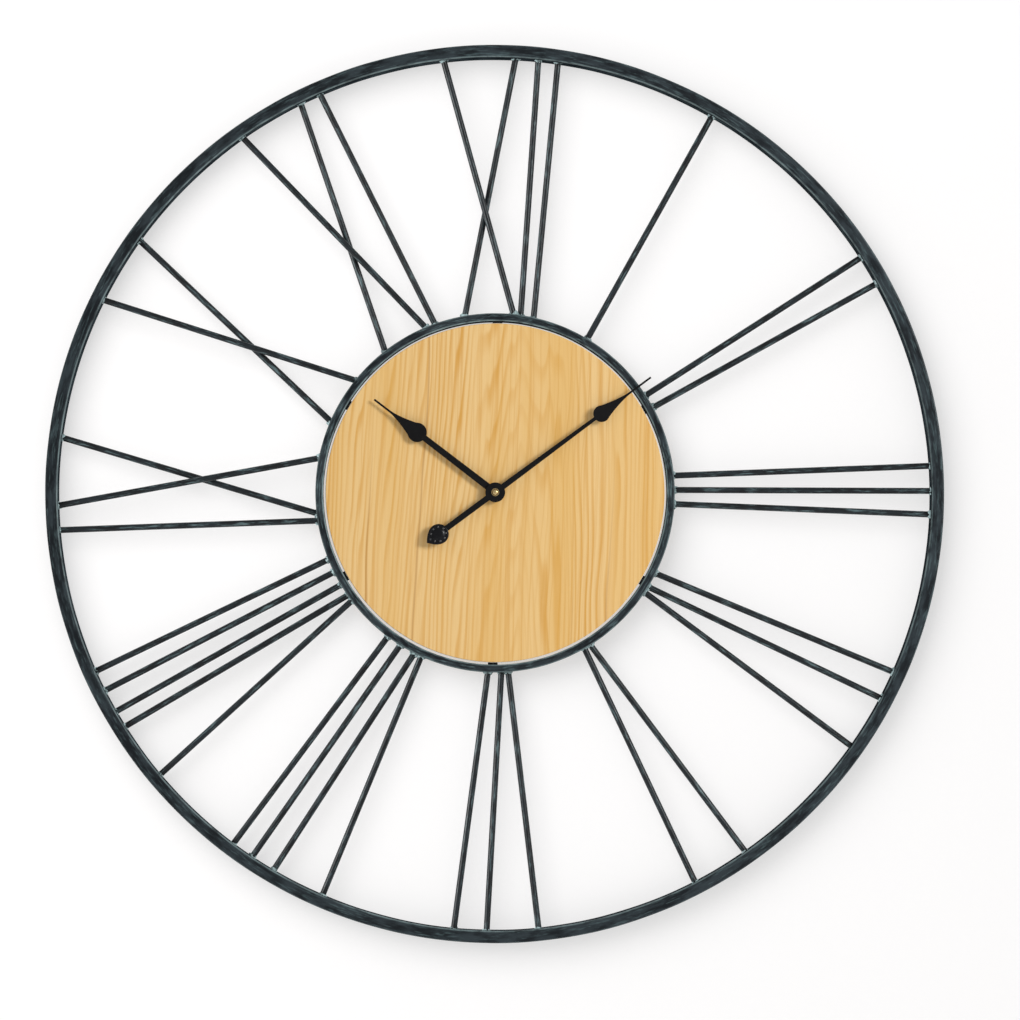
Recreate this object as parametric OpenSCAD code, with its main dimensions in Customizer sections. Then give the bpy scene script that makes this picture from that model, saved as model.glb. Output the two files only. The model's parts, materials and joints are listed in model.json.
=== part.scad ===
// Skeleton wall clock: a steel hoop and ring joined by rod numerals, a round pine dial board,
// two spade hands and a battery quartz movement.
//
// Frame: +Z up, the wall on the +Y side and the dial facing -Y. The hands turn about the Y axis,
// and the origin lies on it, halfway between the wall and the nut at the front of the hands.
// Depths are distances in front of the wall. Clock angles run clockwise from twelve.

/* [Hoop and ring] */
// Outer radius of the hoop
hoop_r = 400; // [360:1:440]
// Width of the hoop's front face
hoop_face = 11; // [9:0.5:14]
// Depth of the hoop, from the wall to its front
hoop_depth = 25; // [25:0.5:30]
// Outer radius of the ring around the board
ring_r = 160; // [150:1:175]
// Width of the ring's front face
ring_face = 7; // [6:0.5:9]
// Depth of the ring
ring_depth = 20; // [17:0.5:22]
// Wall of both bent tubes
tube_wall = 1.2; // [0.8:0.1:1.5]
// Corner radius of both tubes
tube_corner = 1.6; // [1.3:0.1:2.5]
// Diameter of the rods of the numerals
rod_d = 5.5; // [4:0.1:6]

/* [Dial board] */
// Gap between the board's edge and the ring
board_gap = 2; // [1.8:0.1:3]
// Thickness of the board
board_t = 6; // [5:0.5:6.5]
// How far the board lies behind the ring's front
board_recess = 1; // [0:0.5:1.5]
// Number of tabs that hold the board
tab_count = 6; // [3:1:8]
// Width of a tab
tab_w = 8.6; // [7:0.1:14]

/* [Hands] */
// Length of the minute hand from its axis
minute_len = 172; // [160:1:190]
// Length of the minute hand's tail
tail_len = 75.5; // [70:0.5:90]
// Length of the hour hand from its axis
hour_len = 135.5; // [125:0.5:145]
// Clock angle of the minute hand
minute_angle = 53.5; // [0:0.5:360]
// Clock angle of the hour hand
hour_angle = 307.5; // [0:0.5:360]
// Thickness of both hands
hand_t = 1; // [0.6:0.1:1.2]
// Thickness of the weight on the tail
weight_t = 2.2; // [1.5:0.1:3.2]

/* [Movement] */
// Width and height of the movement's case
case_w = 56; // [56:0.5:60]
// Depth of the case with its lid
case_depth = 16.4; // [16.4:0.1:16.8]
// Radius of the threaded bushing
bushing_r = 4; // [3.8:0.1:4.5]
// Radius of the battery
battery_r = 7.1; // [6.8:0.1:7.2]

/* [Hanger] */
// Radius of the round hole of the hanger's keyhole
hanger_hole_r = 5; // [4:0.1:6]
// Width of the keyhole's slot
hanger_slot_w = 5; // [4:0.1:5.5]
// Thickness of the hanger plate
hanger_t = 2; // [1.5:0.1:2.5]

/* [Hidden] */

$fn = 96;
hoop_facets = 240;
board_facets = 180;
small_facets = 32;
tiny_facets = 24;
// How far a cut runs past the face that it opens
over = 1;

// Colours
gunmetal = [0.16, 0.21, 0.23];
pine = [0.88, 0.73, 0.45];
matt_black = [0.07, 0.07, 0.08];
gloss_black = [0.03, 0.03, 0.03];
brass = [0.78, 0.62, 0.30];
steel = [0.70, 0.71, 0.72];
case_black = [0.10, 0.10, 0.11];
gear_white = [0.90, 0.90, 0.86];
copper = [0.72, 0.38, 0.20];

// Hoop and ring
hoop_in = hoop_r - hoop_face;
ring_in = ring_r - ring_face;
ring_back = hoop_depth - ring_depth;

// Strokes of the numerals: [angle at the hoop, angle at the ring, layer]. The angles are in
// degrees clockwise from the hour's own direction. Layer 1 lies in front and -1 behind, so
// that the two rods of an X pass each other; layer 0 is the middle.
strokes = [
    [[-6.8, 5.9, 1], [2.7, -9.7, -1], [5.7, 8.2, 0], [8.3, 12.4, 0]],
    [[-0.1, 0.9, 0]],
    [[-2.8, -3.0, 0], [1.2, 1.5, 0]],
    [[-3.6, -5.6, 0], [-0.3, -1.0, 0], [2.8, 3.5, 0]],
    [[-5.8, -3.4, 0], [-2.0, 1.5, 0], [5.4, 3.6, 0]],
    [[-4.9, -2.1, 0], [2.8, 0.1, 0]],
    [[-5.7, -4.2, 0], [1.1, -2.0, 0], [5.4, 2.3, 0]],
    [[-6.8, -5.7, 0], [0.4, -3.3, 0], [3.7, 1.9, 0], [6.7, 6.7, 0]],
    [[-10.1, -7.0, 0], [-2.3, -4.8, 0], [0.0, -0.8, 0], [3.1, 3.8, 0], [5.9, 8.2, 0]],
    [[-4.9, -8.9, 0], [-1.7, 11.1, 1], [7.3, -6.5, -1]],
    [[-3.8, 8.8, 1], [5.4, -6.4, -1]],
    [[-5.4, 7.2, 1], [3.5, -7.8, -1], [6.3, 10.4, 0]]
];
hour_step = 30;
// The rods of an X just clear each other
layer_step = rod_d / 2 + 0.05;
rod_depth = hoop_depth - ring_depth / 2;
// Extra rod length that is trimmed away against the tubes
rod_spare = 3;

// Dial board
board_r = ring_in - board_gap;
board_front = hoop_depth - board_recess;
board_back = board_front - board_t;
board_edge = 0.6;
tab_t = 1.5;
tab_leg = 1.6;
tab_reach = 18;
tab_first = 0.8;
screw_at = board_r - 9;
screw_r = 1.5;
screw_bite = 4.5;
screw_head_r = 3;
screw_head_t = 1.6;
screw_clearance = 0.3;
screw_slot = [4, 0.7, 0.8];
bore_clearance = 0.2;
seat_clearance = 0.1;

// Hanger plate: its body, the neck that runs up behind the first tab to the ring, and its keyhole
hanger_body = [36, 30];
hanger_low = 116;
hanger_neck_w = 8;
hanger_gap = 1;
hole_z = 128;
slot_z = 139;

// Movement case, lid and what clamps the board
gasket_t = 0.8;
gasket_r = 12;
case_front = board_back - gasket_t;
case_back = case_front - case_depth;
case_wall = 1.2;
case_corner = 4;
case_in = case_w / 2 - case_wall;
floor_depth = case_back + case_wall;
lid_t = 1.2;
lid_back = case_front - lid_t;
fit = 0.05;
washer_t = 0.6;
washer_r = 7;
nut_t = 2.2;
nut_flats = 10;
bushing_end = board_front + washer_t + nut_t + 0.8;
bushing_flange_r = 5.5;
bushing_flange_t = 1;

// Battery bay, below the wheels
battery_len = 48.6;
battery_nub = 1.4;
battery_nub_r = 2.7;
battery_z = -case_in + battery_r + 1.1;
battery_depth = (floor_depth + lid_back) / 2 - 0.3;
bay_top = battery_z + battery_r + 0.3;
divider_top = bay_top + case_wall;
contact_t = 0.4;
battery_shift = 0.4;
// Contact spring: its square plate, its wire, and the [distance from the plate, radius] of its turns
spring_plate = 11;
spring_wire_r = 0.28;
spring_turns = [[0.3, 4.6], [0.75, 3.6], [1.2, 2.6]];
tab_plate = 8;

// Stack of the hands
collet_back = bushing_end + 0.4;
collet_flange_t = 0.8;
hour_back = collet_back + collet_flange_t;
hour_front = hour_back + hand_t;
tube_end = hour_front + 0.4;
boss_back = tube_end + 0.8;
minute_back = boss_back + 0.6;
minute_front = minute_back + hand_t;
boss_front = minute_front + 0.4;
hand_nut_t = 3;
clock_depth = boss_front + hand_nut_t;
wall_y = clock_depth / 2;

hour_tube_r = 2.5;
hour_tube_in = 1.8;
arbor_r = 1.75;
arbor_flats = 2.6;
tip_r = 1.2;
flats_back = tube_end + 0.2;
thread_len = hand_nut_t - 0.6;
collet_r = 3;
collet_flange_r = 4.5;
boss_r = 3.4;
boss_flange_r = 4.6;
hand_nut_r = 2.9;
hub_r = 8.75;

// Outlines of the hands: half widths along the arm, the round of the spade and its flare
minute_arm = [2.7, 1.6];
minute_spade = [117.5, 7.4];
hour_arm = [3.1, 2.7];
hour_spade = [87.5, 8.6];
flare_len = 30;
flare_power = 1.5;
flare_steps = 20;
round_steps = 12;
drop_steps = 10;
needle = [0.95, 0.85];
tail_half = 2.6;
weight_r = 9;
weight_at = tail_len - 13;

// Wheels: teeth of each meshing pair, and the size of their teeth
cannon_teeth = 12;
motion_teeth = 36;
motion_pinion_teeth = 10;
hour_teeth = 40;
knob_teeth = 12;
centre_teeth = 64;
pinion_teeth = 8;
third_teeth = 60;
second_teeth = 60;
step_pinion_teeth = 10;
step_teeth = 60;
rotor_teeth = 12;
motion_mod = 0.4;
train_mod = 0.25;
step_mod = 0.22;
rotor_mod = 0.2;
motion_gap = motion_mod * (cannon_teeth + motion_teeth) / 2;
hour_mod = 2 * motion_gap / (motion_pinion_teeth + hour_teeth);

// Where each axle stands, seen from the front
motion_dir = 180;
knob_dir = 135;
third_dir = 60;
second_dir = 20;
step_dir = 60;
rotor_dir = 170;
motion_at = motion_gap * heading(motion_dir);
knob_at = motion_at + motion_mod * (motion_teeth + knob_teeth) / 2 * heading(knob_dir);
third_at = train_mod * (centre_teeth + pinion_teeth) / 2 * heading(third_dir);
second_at = third_at + train_mod * (third_teeth + pinion_teeth) / 2 * heading(second_dir);
step_at = second_at + step_mod * (second_teeth + step_pinion_teeth) / 2 * heading(step_dir);
rotor_at = step_at + rotor_mod * (step_teeth + rotor_teeth) / 2 * heading(rotor_dir);

// Layers of the wheels
wheel_t = 0.8;
step_pinion_back = floor_depth + 1.4;
second_back = floor_depth + 1.8;
step_back = floor_depth + 3.4;
third_back = floor_depth + 4.2;
centre_back = floor_depth + 6.5;
motion_back = floor_depth + 9.2;
hour_wheel_back = floor_depth + 11.2;
hour_wheel_t = 1.2;
pinion_over = 0.4;
pinion_t = wheel_t + 0.8;
wheel_hub = 0.8;

// Axles: pivots run in blind holes of the case and its lid
pivot_r = 0.5;
pivot_bite = 0.7;
axle_collar = 0.1;
axle_joint = 0.2;
socket_bite = 0.8;
arbor_pivot_r = 0.8;
knob_r = 6;
knob_shaft_r = 1.5;
knob_well_r = 6.5;
knob_well_wall = 1;
knob_well_depth = 3.2;
knob_head_t = 2.8;
knob_sink = 0.1;
knob_grips = 24;
grip_r = 0.4;
grip_offset = 0.15;
knob_slot = [1, 0.8];

// Motor
magnet_r = 3;
magnet_t = 3;
magnet_back = floor_depth + 5.6;
stator_back = floor_depth + 6.4;
stator_t = 1.2;
stator_gap = 0.4;
stator_foot = 14.6;
stator_bar = 17.4;
stator_top = 24;
left_arm = [-23, -20];
right_arm = [3, 14.2];
core_w = 2.4;
core_len = 29;
core_t = 1;
coil_z = 22;
coil_ends = [-18.4, 1];
coil_r = 3.4;
bobbin_r = 1.9;
flange_w = 0.8;
flange_over = 0.5;

// Circuit
card = [11, 17];
card_at = [20, -0.6];
card_back = floor_depth + 10.8;
card_t = 1;
crystal_r = 1.4;
crystal_len = 7;
chip_size = [4.6, 4.6, 1.1];
chip_corner = card_at - [4, 6];
crystal_x = card_at.x + 3;

function heading(a) = [cos(a), sin(a)];
function clock_dir(a) = [sin(a), cos(a)];

// Outline of a wheel: four corners for each tooth, narrower at the tip
tooth_at = [-0.27, -0.11, 0.11, 0.27];
tooth_reach = [-1.15, 0.8, 0.8, -1.15];
function wheel_points(teeth, mod, phase) = [
    for (i = [0:teeth - 1])
        for (k = [0:3])
            mod * (teeth / 2 + tooth_reach[k]) * heading(phase + (i + tooth_at[k]) * 360 / teeth)
];

// Turn of wheel b that puts its teeth in the gaps of wheel a, which stands in the direction dir
function mesh_phase(dir, teeth_a, phase_a, teeth_b) =
    dir + 180 - 360 / teeth_b * (0.5 - (dir - phase_a) * teeth_a / 360);

motion_phase = mesh_phase(motion_dir, cannon_teeth, 0, motion_teeth);
knob_phase = mesh_phase(knob_dir, motion_teeth, motion_phase, knob_teeth);
hour_phase = mesh_phase(motion_dir + 180, motion_pinion_teeth, 0, hour_teeth);
third_phase = mesh_phase(third_dir, centre_teeth, 0, pinion_teeth);
second_phase = mesh_phase(second_dir, third_teeth, 0, pinion_teeth);
step_phase = mesh_phase(step_dir, second_teeth, 0, step_pinion_teeth);
rotor_phase = mesh_phase(rotor_dir, step_teeth, 0, rotor_teeth);

// Puts a shape drawn in the dial's plane at a depth; its own +Z then points away from the wall
module at_depth(d) {
    translate([0, wall_y - d, 0]) rotate([90, 0, 0]) children();
}

module rounded_rect(w, h, r) {
    square([w - 2 * r, h], center = true);
    square([w, h - 2 * r], center = true);
    for (x = [-1, 1]) for (y = [-1, 1]) translate([x * (w / 2 - r), y * (h / 2 - r)]) circle(r = r);
}

// A rectangular tube bent into a full circle
module tube_circle(r_out, face, depth) {
    rotate_extrude($fn = hoop_facets)
    translate([r_out - face / 2, depth / 2])
    difference() {
        rounded_rect(face, depth, tube_corner);
        rounded_rect(face - 2 * tube_wall, depth - 2 * tube_wall, tube_corner - tube_wall);
    }
}

module rod(hoop_angle, ring_angle, layer) {
    from = ring_r * clock_dir(ring_angle);
    to = hoop_in * clock_dir(hoop_angle);
    along = to - from;
    translate([from.x, from.y, layer * layer_step])
    rotate([0, 90, atan2(along.y, along.x)])
    translate([0, 0, -rod_spare])
    cylinder(h = norm(along) + 2 * rod_spare, d = rod_d, $fn = small_facets);
}

// All rods of one numeral, trimmed to the walls of the ring and the hoop
module numeral(hour) {
    color(gunmetal) at_depth(rod_depth)
    intersection() {
        for (s = strokes[hour % 12]) rod(hour * hour_step + s[0], hour * hour_step + s[1], s[2]);
        translate([0, 0, -ring_depth / 2]) difference() {
            cylinder(h = ring_depth, r = hoop_in);
            cylinder(h = ring_depth, r = ring_r);
        }
    }
}

module outer_hoop() {
    color(gunmetal) at_depth(0) tube_circle(hoop_r, hoop_face, hoop_depth);
}

module inner_ring() {
    color(gunmetal) at_depth(ring_back) tube_circle(ring_r, ring_face, ring_depth);
}

// Steel plate behind the board with a keyhole; its neck is welded to the ring's inner wall
module hanger_plate() {
    color(matt_black) at_depth(ring_back + hanger_gap) linear_extrude(hanger_t) difference() {
        union() {
            translate([-hanger_body.x / 2, hanger_low]) square(hanger_body);
            intersection() {
                circle(r = ring_in, $fn = hoop_facets);
                rotate(-tab_first) translate([-hanger_neck_w / 2, slot_z])
                    square([hanger_neck_w, ring_r - slot_z]);
            }
        }
        translate([0, hole_z]) circle(r = hanger_hole_r);
        translate([-hanger_slot_w / 2, hole_z]) square([hanger_slot_w, slot_z - hole_z]);
        translate([0, slot_z]) circle(d = hanger_slot_w, $fn = small_facets);
    }
}

module wood_board() {
    color(pine) at_depth(board_back) difference() {
        rotate_extrude($fn = board_facets) polygon([
            [bushing_r + bore_clearance, 0], [board_r, 0], [board_r, board_t - board_edge],
            [board_r - board_edge, board_t], [bushing_r + bore_clearance, board_t]
        ]);
        for (i = [0:tab_count - 1]) rotate(tab_turn(i))
            translate([screw_at, 0, -over]) cylinder(h = screw_bite + over, r = screw_r, $fn = tiny_facets);
    }
}

function tab_turn(i) = 90 - tab_first - i * 360 / tab_count;

// L-shaped tabs: one leg lines the ring's inner wall, the other lies behind the board
module board_tabs() {
    color(matt_black) at_depth(board_back - tab_t)
    for (i = [0:tab_count - 1]) rotate(tab_turn(i)) difference() {
        union() {
            intersection() {
                difference() {
                    cylinder(h = tab_t + board_t, r = ring_in);
                    translate([0, 0, -over])
                        cylinder(h = tab_t + board_t + 2 * over, r = ring_in - tab_leg);
                }
                translate([board_r - board_t, -tab_w / 2, 0]) cube([2 * board_t, tab_w, tab_t + board_t]);
            }
            intersection() {
                cylinder(h = tab_t, r = ring_in);
                translate([board_r - tab_reach, -tab_w / 2, 0])
                    cube([tab_reach + 2 * board_gap, tab_w, tab_t]);
            }
        }
        translate([screw_at, 0, -over])
            cylinder(h = tab_t + 2 * over, r = screw_r + screw_clearance, $fn = tiny_facets);
    }
}

module tab_screws() {
    color(steel) at_depth(board_back - tab_t - screw_head_t)
    for (i = [0:tab_count - 1]) rotate(tab_turn(i)) translate([screw_at, 0, 0]) difference() {
        union() {
            cylinder(h = screw_head_t, r = screw_head_r, $fn = small_facets);
            cylinder(h = screw_head_t + tab_t + screw_bite, r = screw_r, $fn = tiny_facets);
        }
        for (turn = [0, 90]) rotate(turn)
            translate([-screw_slot.x / 2, -screw_slot.y / 2, -over])
            cube([screw_slot.x, screw_slot.y, screw_slot.z + over]);
    }
}

// Places where a pivot of the train runs
module at_train_axles() {
    for (p = [motion_at, third_at, second_at, step_at, rotor_at]) translate(p) children();
}

module movement_case() {
    height = lid_back - case_back;
    color(case_black) at_depth(case_back) difference() {
        union() {
            difference() {
                linear_extrude(height) rounded_rect(case_w, case_w, case_corner);
                translate([-case_in, divider_top, case_wall])
                    cube([2 * case_in, case_in - divider_top, height]);
                translate([-case_in, -case_in, -over])
                    cube([2 * case_in, bay_top + case_in, height + 2 * over]);
            }
            translate(knob_at) cylinder(h = knob_well_depth + knob_well_wall,
                                        r = knob_well_r + knob_well_wall);
        }
        translate([knob_at.x, knob_at.y, -over]) cylinder(h = knob_well_depth + over, r = knob_well_r);
        translate(knob_at) cylinder(h = height, r = knob_shaft_r + fit, $fn = small_facets);
        translate([0, 0, case_wall - socket_bite]) {
            at_train_axles() cylinder(h = height, r = pivot_r + fit, $fn = tiny_facets);
            cylinder(h = height, r = arbor_pivot_r + fit, $fn = tiny_facets);
        }
    }
}

module movement_lid() {
    color(case_black) at_depth(lid_back) difference() {
        linear_extrude(lid_t) rounded_rect(case_w, case_w, case_corner);
        translate([0, 0, -over]) cylinder(h = lid_t + 2 * over, r = bushing_r);
        translate([0, 0, -over]) {
            at_train_axles() cylinder(h = socket_bite + over, r = pivot_r + fit, $fn = tiny_facets);
            translate(knob_at) cylinder(h = socket_bite + over, r = pivot_r + fit, $fn = tiny_facets);
        }
    }
}

module bushing() {
    color(brass) at_depth(lid_back - bushing_flange_t) difference() {
        union() {
            cylinder(h = bushing_flange_t, r = bushing_flange_r);
            cylinder(h = bushing_end - lid_back + bushing_flange_t, r = bushing_r);
        }
        translate([0, 0, -over])
            cylinder(h = bushing_end - lid_back + bushing_flange_t + 2 * over, r = hour_tube_r + fit);
    }
}

module gasket() {
    color(matt_black) at_depth(case_front) difference() {
        cylinder(h = gasket_t, r = gasket_r);
        translate([0, 0, -over]) cylinder(h = gasket_t + 2 * over, r = bushing_r + seat_clearance);
    }
}

module bushing_washer() {
    color(brass) at_depth(board_front) difference() {
        cylinder(h = washer_t, r = washer_r);
        translate([0, 0, -over]) cylinder(h = washer_t + 2 * over, r = bushing_r + seat_clearance);
    }
}

module bushing_nut() {
    color(brass) at_depth(board_front + washer_t) difference() {
        cylinder(h = nut_t, d = nut_flats / cos(30), $fn = 6);
        translate([0, 0, -over]) cylinder(h = nut_t + 2 * over, r = bushing_r);
    }
}

// A wheel with teeth, drawn about its own axis
module toothed(teeth, mod, phase, thick) {
    linear_extrude(thick) polygon(wheel_points(teeth, mod, phase));
}

// Thin axle that reaches into the sockets of the case and the lid
module train_axle() {
    at_depth(floor_depth - pivot_bite)
        cylinder(h = lid_back - floor_depth + 2 * pivot_bite, r = pivot_r, $fn = tiny_facets);
}

module place(p) {
    translate([p.x, 0, p.y]) children();
}

module hour_wheel() {
    color(gear_white) difference() {
        union() {
            at_depth(hour_wheel_back) toothed(hour_teeth, hour_mod, hour_phase, hour_wheel_t);
            at_depth(hour_wheel_back) cylinder(h = tube_end - hour_wheel_back, r = hour_tube_r);
        }
        at_depth(hour_wheel_back - over)
            cylinder(h = tube_end - hour_wheel_back + 2 * over, r = hour_tube_in);
    }
}

module hour_collet() {
    color(brass) at_depth(collet_back) difference() {
        union() {
            cylinder(h = collet_flange_t, r = collet_flange_r);
            cylinder(h = tube_end - collet_back, r = collet_r);
        }
        translate([0, 0, -over]) cylinder(h = tube_end - collet_back + 2 * over, r = hour_tube_r);
    }
}

// Half width of a spade at u from the middle of its round blade
function spade_half(w, u) = max(
    sqrt(max(w * w - u * u, 0)),
    needle[0] + (w - needle[0]) * pow(1 - u / flare_len, flare_power)
);

// Arm, round blade, flare and needle of a hand along +X, as one closed outline
module hand_blade(half, spade, tip) {
    at = spade[0];
    w = spade[1];
    first = 180 - asin(half[1] / w);
    round = [for (i = [0:round_steps]) let (a = first + (90 - first) * i / round_steps)
        [at + w * cos(a), w * sin(a)]];
    flare = [for (i = [1:flare_steps]) let (u = flare_len * i / flare_steps)
        [at + u, spade_half(w, u)]];
    mirrored(concat([[0, half[0]]], round, flare, [[tip, needle[1]]]));
}

// Drop along +X: round towards the hub, then a parabola to a point
module drop() {
    round = [for (i = [0:round_steps]) let (a = 180 - 90 * i / round_steps)
        [weight_at + weight_r * cos(a), weight_r * sin(a)]];
    side = [for (i = [1:drop_steps]) let (t = i / drop_steps)
        [weight_at + (tail_len - weight_at) * t, weight_r * (1 - t * t)]];
    mirrored(concat(round, side));
}

// Closed outline from its upper half, which may start or end on the X axis
module mirrored(upper) {
    lower = [for (i = [len(upper) - 1:-1:0]) if (upper[i].y > 0.001) [upper[i].x, -upper[i].y]];
    polygon(concat(upper, lower));
}

module hour_hand() {
    color(matt_black) at_depth(hour_back) rotate(90 - hour_angle) difference() {
        union() {
            cylinder(h = hand_t, r = hub_r);
            linear_extrude(hand_t) hand_blade(hour_arm, hour_spade, hour_len);
        }
        translate([0, 0, -over]) cylinder(h = hand_t + 2 * over, r = collet_r);
    }
}

module minute_hand() {
    color(matt_black) at_depth(minute_back) rotate(90 - minute_angle) difference() {
        union() {
            cylinder(h = hand_t, r = hub_r);
            linear_extrude(hand_t) hand_blade(minute_arm, minute_spade, minute_len);
            translate([-weight_at, -tail_half, 0]) cube([weight_at, 2 * tail_half, hand_t]);
            rotate(180) linear_extrude(hand_t) drop();
        }
        translate([0, 0, -over]) cylinder(h = hand_t + 2 * over, r = boss_r);
    }
}

module tail_weight() {
    color(gloss_black) at_depth(minute_front) rotate(270 - minute_angle)
        linear_extrude(weight_t) drop();
}

// Round bar with two flats, as the end of the minute arbor has
module flatted(r, flats) {
    intersection() {
        circle(r = r);
        square([flats, 2 * r + over], center = true);
    }
}

module minute_boss() {
    color(brass) at_depth(boss_back) difference() {
        union() {
            cylinder(h = minute_back - boss_back, r = boss_flange_r);
            cylinder(h = boss_front - boss_back, r = boss_r);
        }
        translate([0, 0, -over]) linear_extrude(boss_front - boss_back + 2 * over)
            rotate(90 - minute_angle) flatted(arbor_r, arbor_flats);
    }
}

module minute_arbor() {
    cannon_back = motion_back - pinion_over / 2;
    color(steel) {
        at_depth(floor_depth - pivot_bite)
            cylinder(h = centre_back - floor_depth + pivot_bite, r = arbor_pivot_r, $fn = tiny_facets);
        at_depth(centre_back) cylinder(h = flats_back - centre_back, r = arbor_r);
        at_depth(flats_back) linear_extrude(boss_front - flats_back)
            rotate(90 - minute_angle) flatted(arbor_r, arbor_flats);
        at_depth(boss_front) cylinder(h = thread_len, r = tip_r, $fn = small_facets);
        at_depth(cannon_back) toothed(cannon_teeth, motion_mod, 0, wheel_t + pinion_over);
    }
}

module centre_wheel() {
    color(gear_white) at_depth(centre_back) difference() {
        union() {
            toothed(centre_teeth, train_mod, 0, wheel_t);
            cylinder(h = wheel_t + wheel_hub, r = arbor_r + wheel_hub);
        }
        translate([0, 0, -over]) cylinder(h = wheel_t + wheel_hub + 2 * over, r = arbor_r);
    }
}

module hand_nut() {
    dome = 0.8;
    color(brass) at_depth(boss_front) difference() {
        rotate_extrude() polygon([
            [0, 0], [hand_nut_r, 0], [hand_nut_r, hand_nut_t - dome],
            [hand_nut_r - dome, hand_nut_t], [0, hand_nut_t]
        ]);
        translate([0, 0, -over]) cylinder(h = thread_len + over, r = tip_r, $fn = small_facets);
    }
}

module motion_wheel() {
    color(gear_white) place(motion_at) {
        train_axle();
        at_depth(motion_back) toothed(motion_teeth, motion_mod, motion_phase, wheel_t);
        at_depth(motion_back + wheel_t)
            toothed(motion_pinion_teeth, hour_mod, 0,
                    hour_wheel_back + hour_wheel_t + pinion_over - motion_back - wheel_t);
    }
}

module setting_knob() {
    head_back = case_back + knob_sink;
    pinion_back = motion_back - pinion_over / 2;
    color(case_black) place(knob_at) {
        at_depth(head_back) difference() {
            cylinder(h = knob_head_t, r = knob_r);
            for (i = [0:knob_grips - 1]) rotate(i * 360 / knob_grips)
                translate([knob_r + grip_offset, 0, -over])
                cylinder(h = knob_head_t + 2 * over, r = grip_r, $fn = tiny_facets);
            translate([-knob_r, -knob_slot.x / 2, -over])
                cube([2 * knob_r, knob_slot.x, knob_slot.y + over]);
        }
        at_depth(head_back + knob_head_t)
            cylinder(h = pinion_back - head_back - knob_head_t, r = knob_shaft_r, $fn = small_facets);
        at_depth(pinion_back) toothed(knob_teeth, motion_mod, knob_phase, wheel_t + pinion_over);
        at_depth(pinion_back)
            cylinder(h = lid_back + pivot_bite - pinion_back, r = pivot_r, $fn = tiny_facets);
    }
}

// A wheel of the train: its wheel, its pinion and its axle in one moulding
module train_wheel(p, wheel, wheel_depth, pinion, pinion_depth, pinion_len) {
    color(gear_white) place(p) {
        train_axle();
        at_depth(wheel_depth) toothed(wheel[0], wheel[1], 0, wheel_t);
        at_depth(pinion_depth) toothed(pinion[0], pinion[1], pinion[2], pinion_len);
        at_depth(min(wheel_depth, pinion_depth))
            cylinder(h = abs(pinion_depth - wheel_depth) + axle_joint, r = pivot_r + axle_collar,
                     $fn = tiny_facets);
    }
}

module third_wheel() {
    train_wheel(third_at, [third_teeth, train_mod], third_back,
                [pinion_teeth, train_mod, third_phase], centre_back - pinion_over, pinion_t);
}

module second_wheel() {
    train_wheel(second_at, [second_teeth, step_mod], second_back,
                [pinion_teeth, train_mod, second_phase], third_back - pinion_over, pinion_t);
}

module step_wheel() {
    train_wheel(step_at, [step_teeth, rotor_mod], step_back,
                [step_pinion_teeth, step_mod, step_phase], step_pinion_back, pinion_t);
}

module rotor() {
    color(steel) place(rotor_at) {
        train_axle();
        at_depth(magnet_back) cylinder(h = magnet_t, r = magnet_r);
        at_depth(step_back - pinion_over)
            toothed(rotor_teeth, rotor_mod, rotor_phase, wheel_t + 2 * pinion_over);
    }
}

// Soft-iron plate with a hole for the rotor and two arms that the coil's core lies on
module stator() {
    color(steel) at_depth(stator_back) linear_extrude(stator_t) difference() {
        polygon([
            [left_arm[0], stator_foot], [right_arm[1], stator_foot], [right_arm[1], stator_top],
            [right_arm[0], stator_top], [right_arm[0], stator_bar], [left_arm[1], stator_bar],
            [left_arm[1], stator_top], [left_arm[0], stator_top]
        ]);
        translate(rotor_at) circle(r = magnet_r + stator_gap);
    }
}

module coil_core() {
    color(steel) at_depth(stator_back + stator_t)
        translate([left_arm[0], coil_z - core_w / 2, 0]) cube([core_len, core_w, core_t]);
}

// Shapes turned about the coil's own axis, which runs along X through the core
module on_coil(x) {
    translate([x, wall_y - stator_back - stator_t - core_t / 2, coil_z])
    rotate([0, 90, 0]) children();
}

module coil_bobbin() {
    len = coil_ends[1] - coil_ends[0];
    color(gear_white) difference() {
        union() {
            on_coil(coil_ends[0]) cylinder(h = len, r = bobbin_r);
            on_coil(coil_ends[0]) cylinder(h = flange_w, r = coil_r + flange_over);
            on_coil(coil_ends[1] - flange_w) cylinder(h = flange_w, r = coil_r + flange_over);
        }
        coil_core_gap();
    }
}

module coil_core_gap() {
    at_depth(stator_back + stator_t)
        translate([left_arm[0] - over, coil_z - core_w / 2 - fit, -fit])
        cube([core_len + 2 * over, core_w + 2 * fit, core_t + 2 * fit]);
}

module coil_winding() {
    color(copper) on_coil(coil_ends[0] + flange_w) difference() {
        cylinder(h = coil_ends[1] - coil_ends[0] - 2 * flange_w, r = coil_r);
        translate([0, 0, -over]) cylinder(h = coil_ends[1] - coil_ends[0], r = bobbin_r);
    }
}

module circuit_board() {
    color("darkgreen") at_depth(card_back)
        translate([card_at.x - card.x / 2, card_at.y - card.y / 2, 0]) cube([card.x, card.y, card_t]);
}

module chip() {
    color(matt_black) at_depth(card_back - chip_size.z)
        translate(chip_corner) cube(chip_size);
}

module quartz_crystal() {
    color(steel) at_depth(card_back - crystal_r)
        translate([crystal_x, card_at.y, 0]) rotate([-90, 0, 0])
        cylinder(h = crystal_len, r = crystal_r, $fn = small_facets);
}

module battery() {
    color("dimgray") translate([-battery_len / 2 - battery_shift, wall_y - battery_depth, battery_z])
    rotate([0, 90, 0]) {
        cylinder(h = battery_len, r = battery_r);
        cylinder(h = battery_len + battery_nub, r = battery_nub_r, $fn = small_facets);
    }
}

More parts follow.
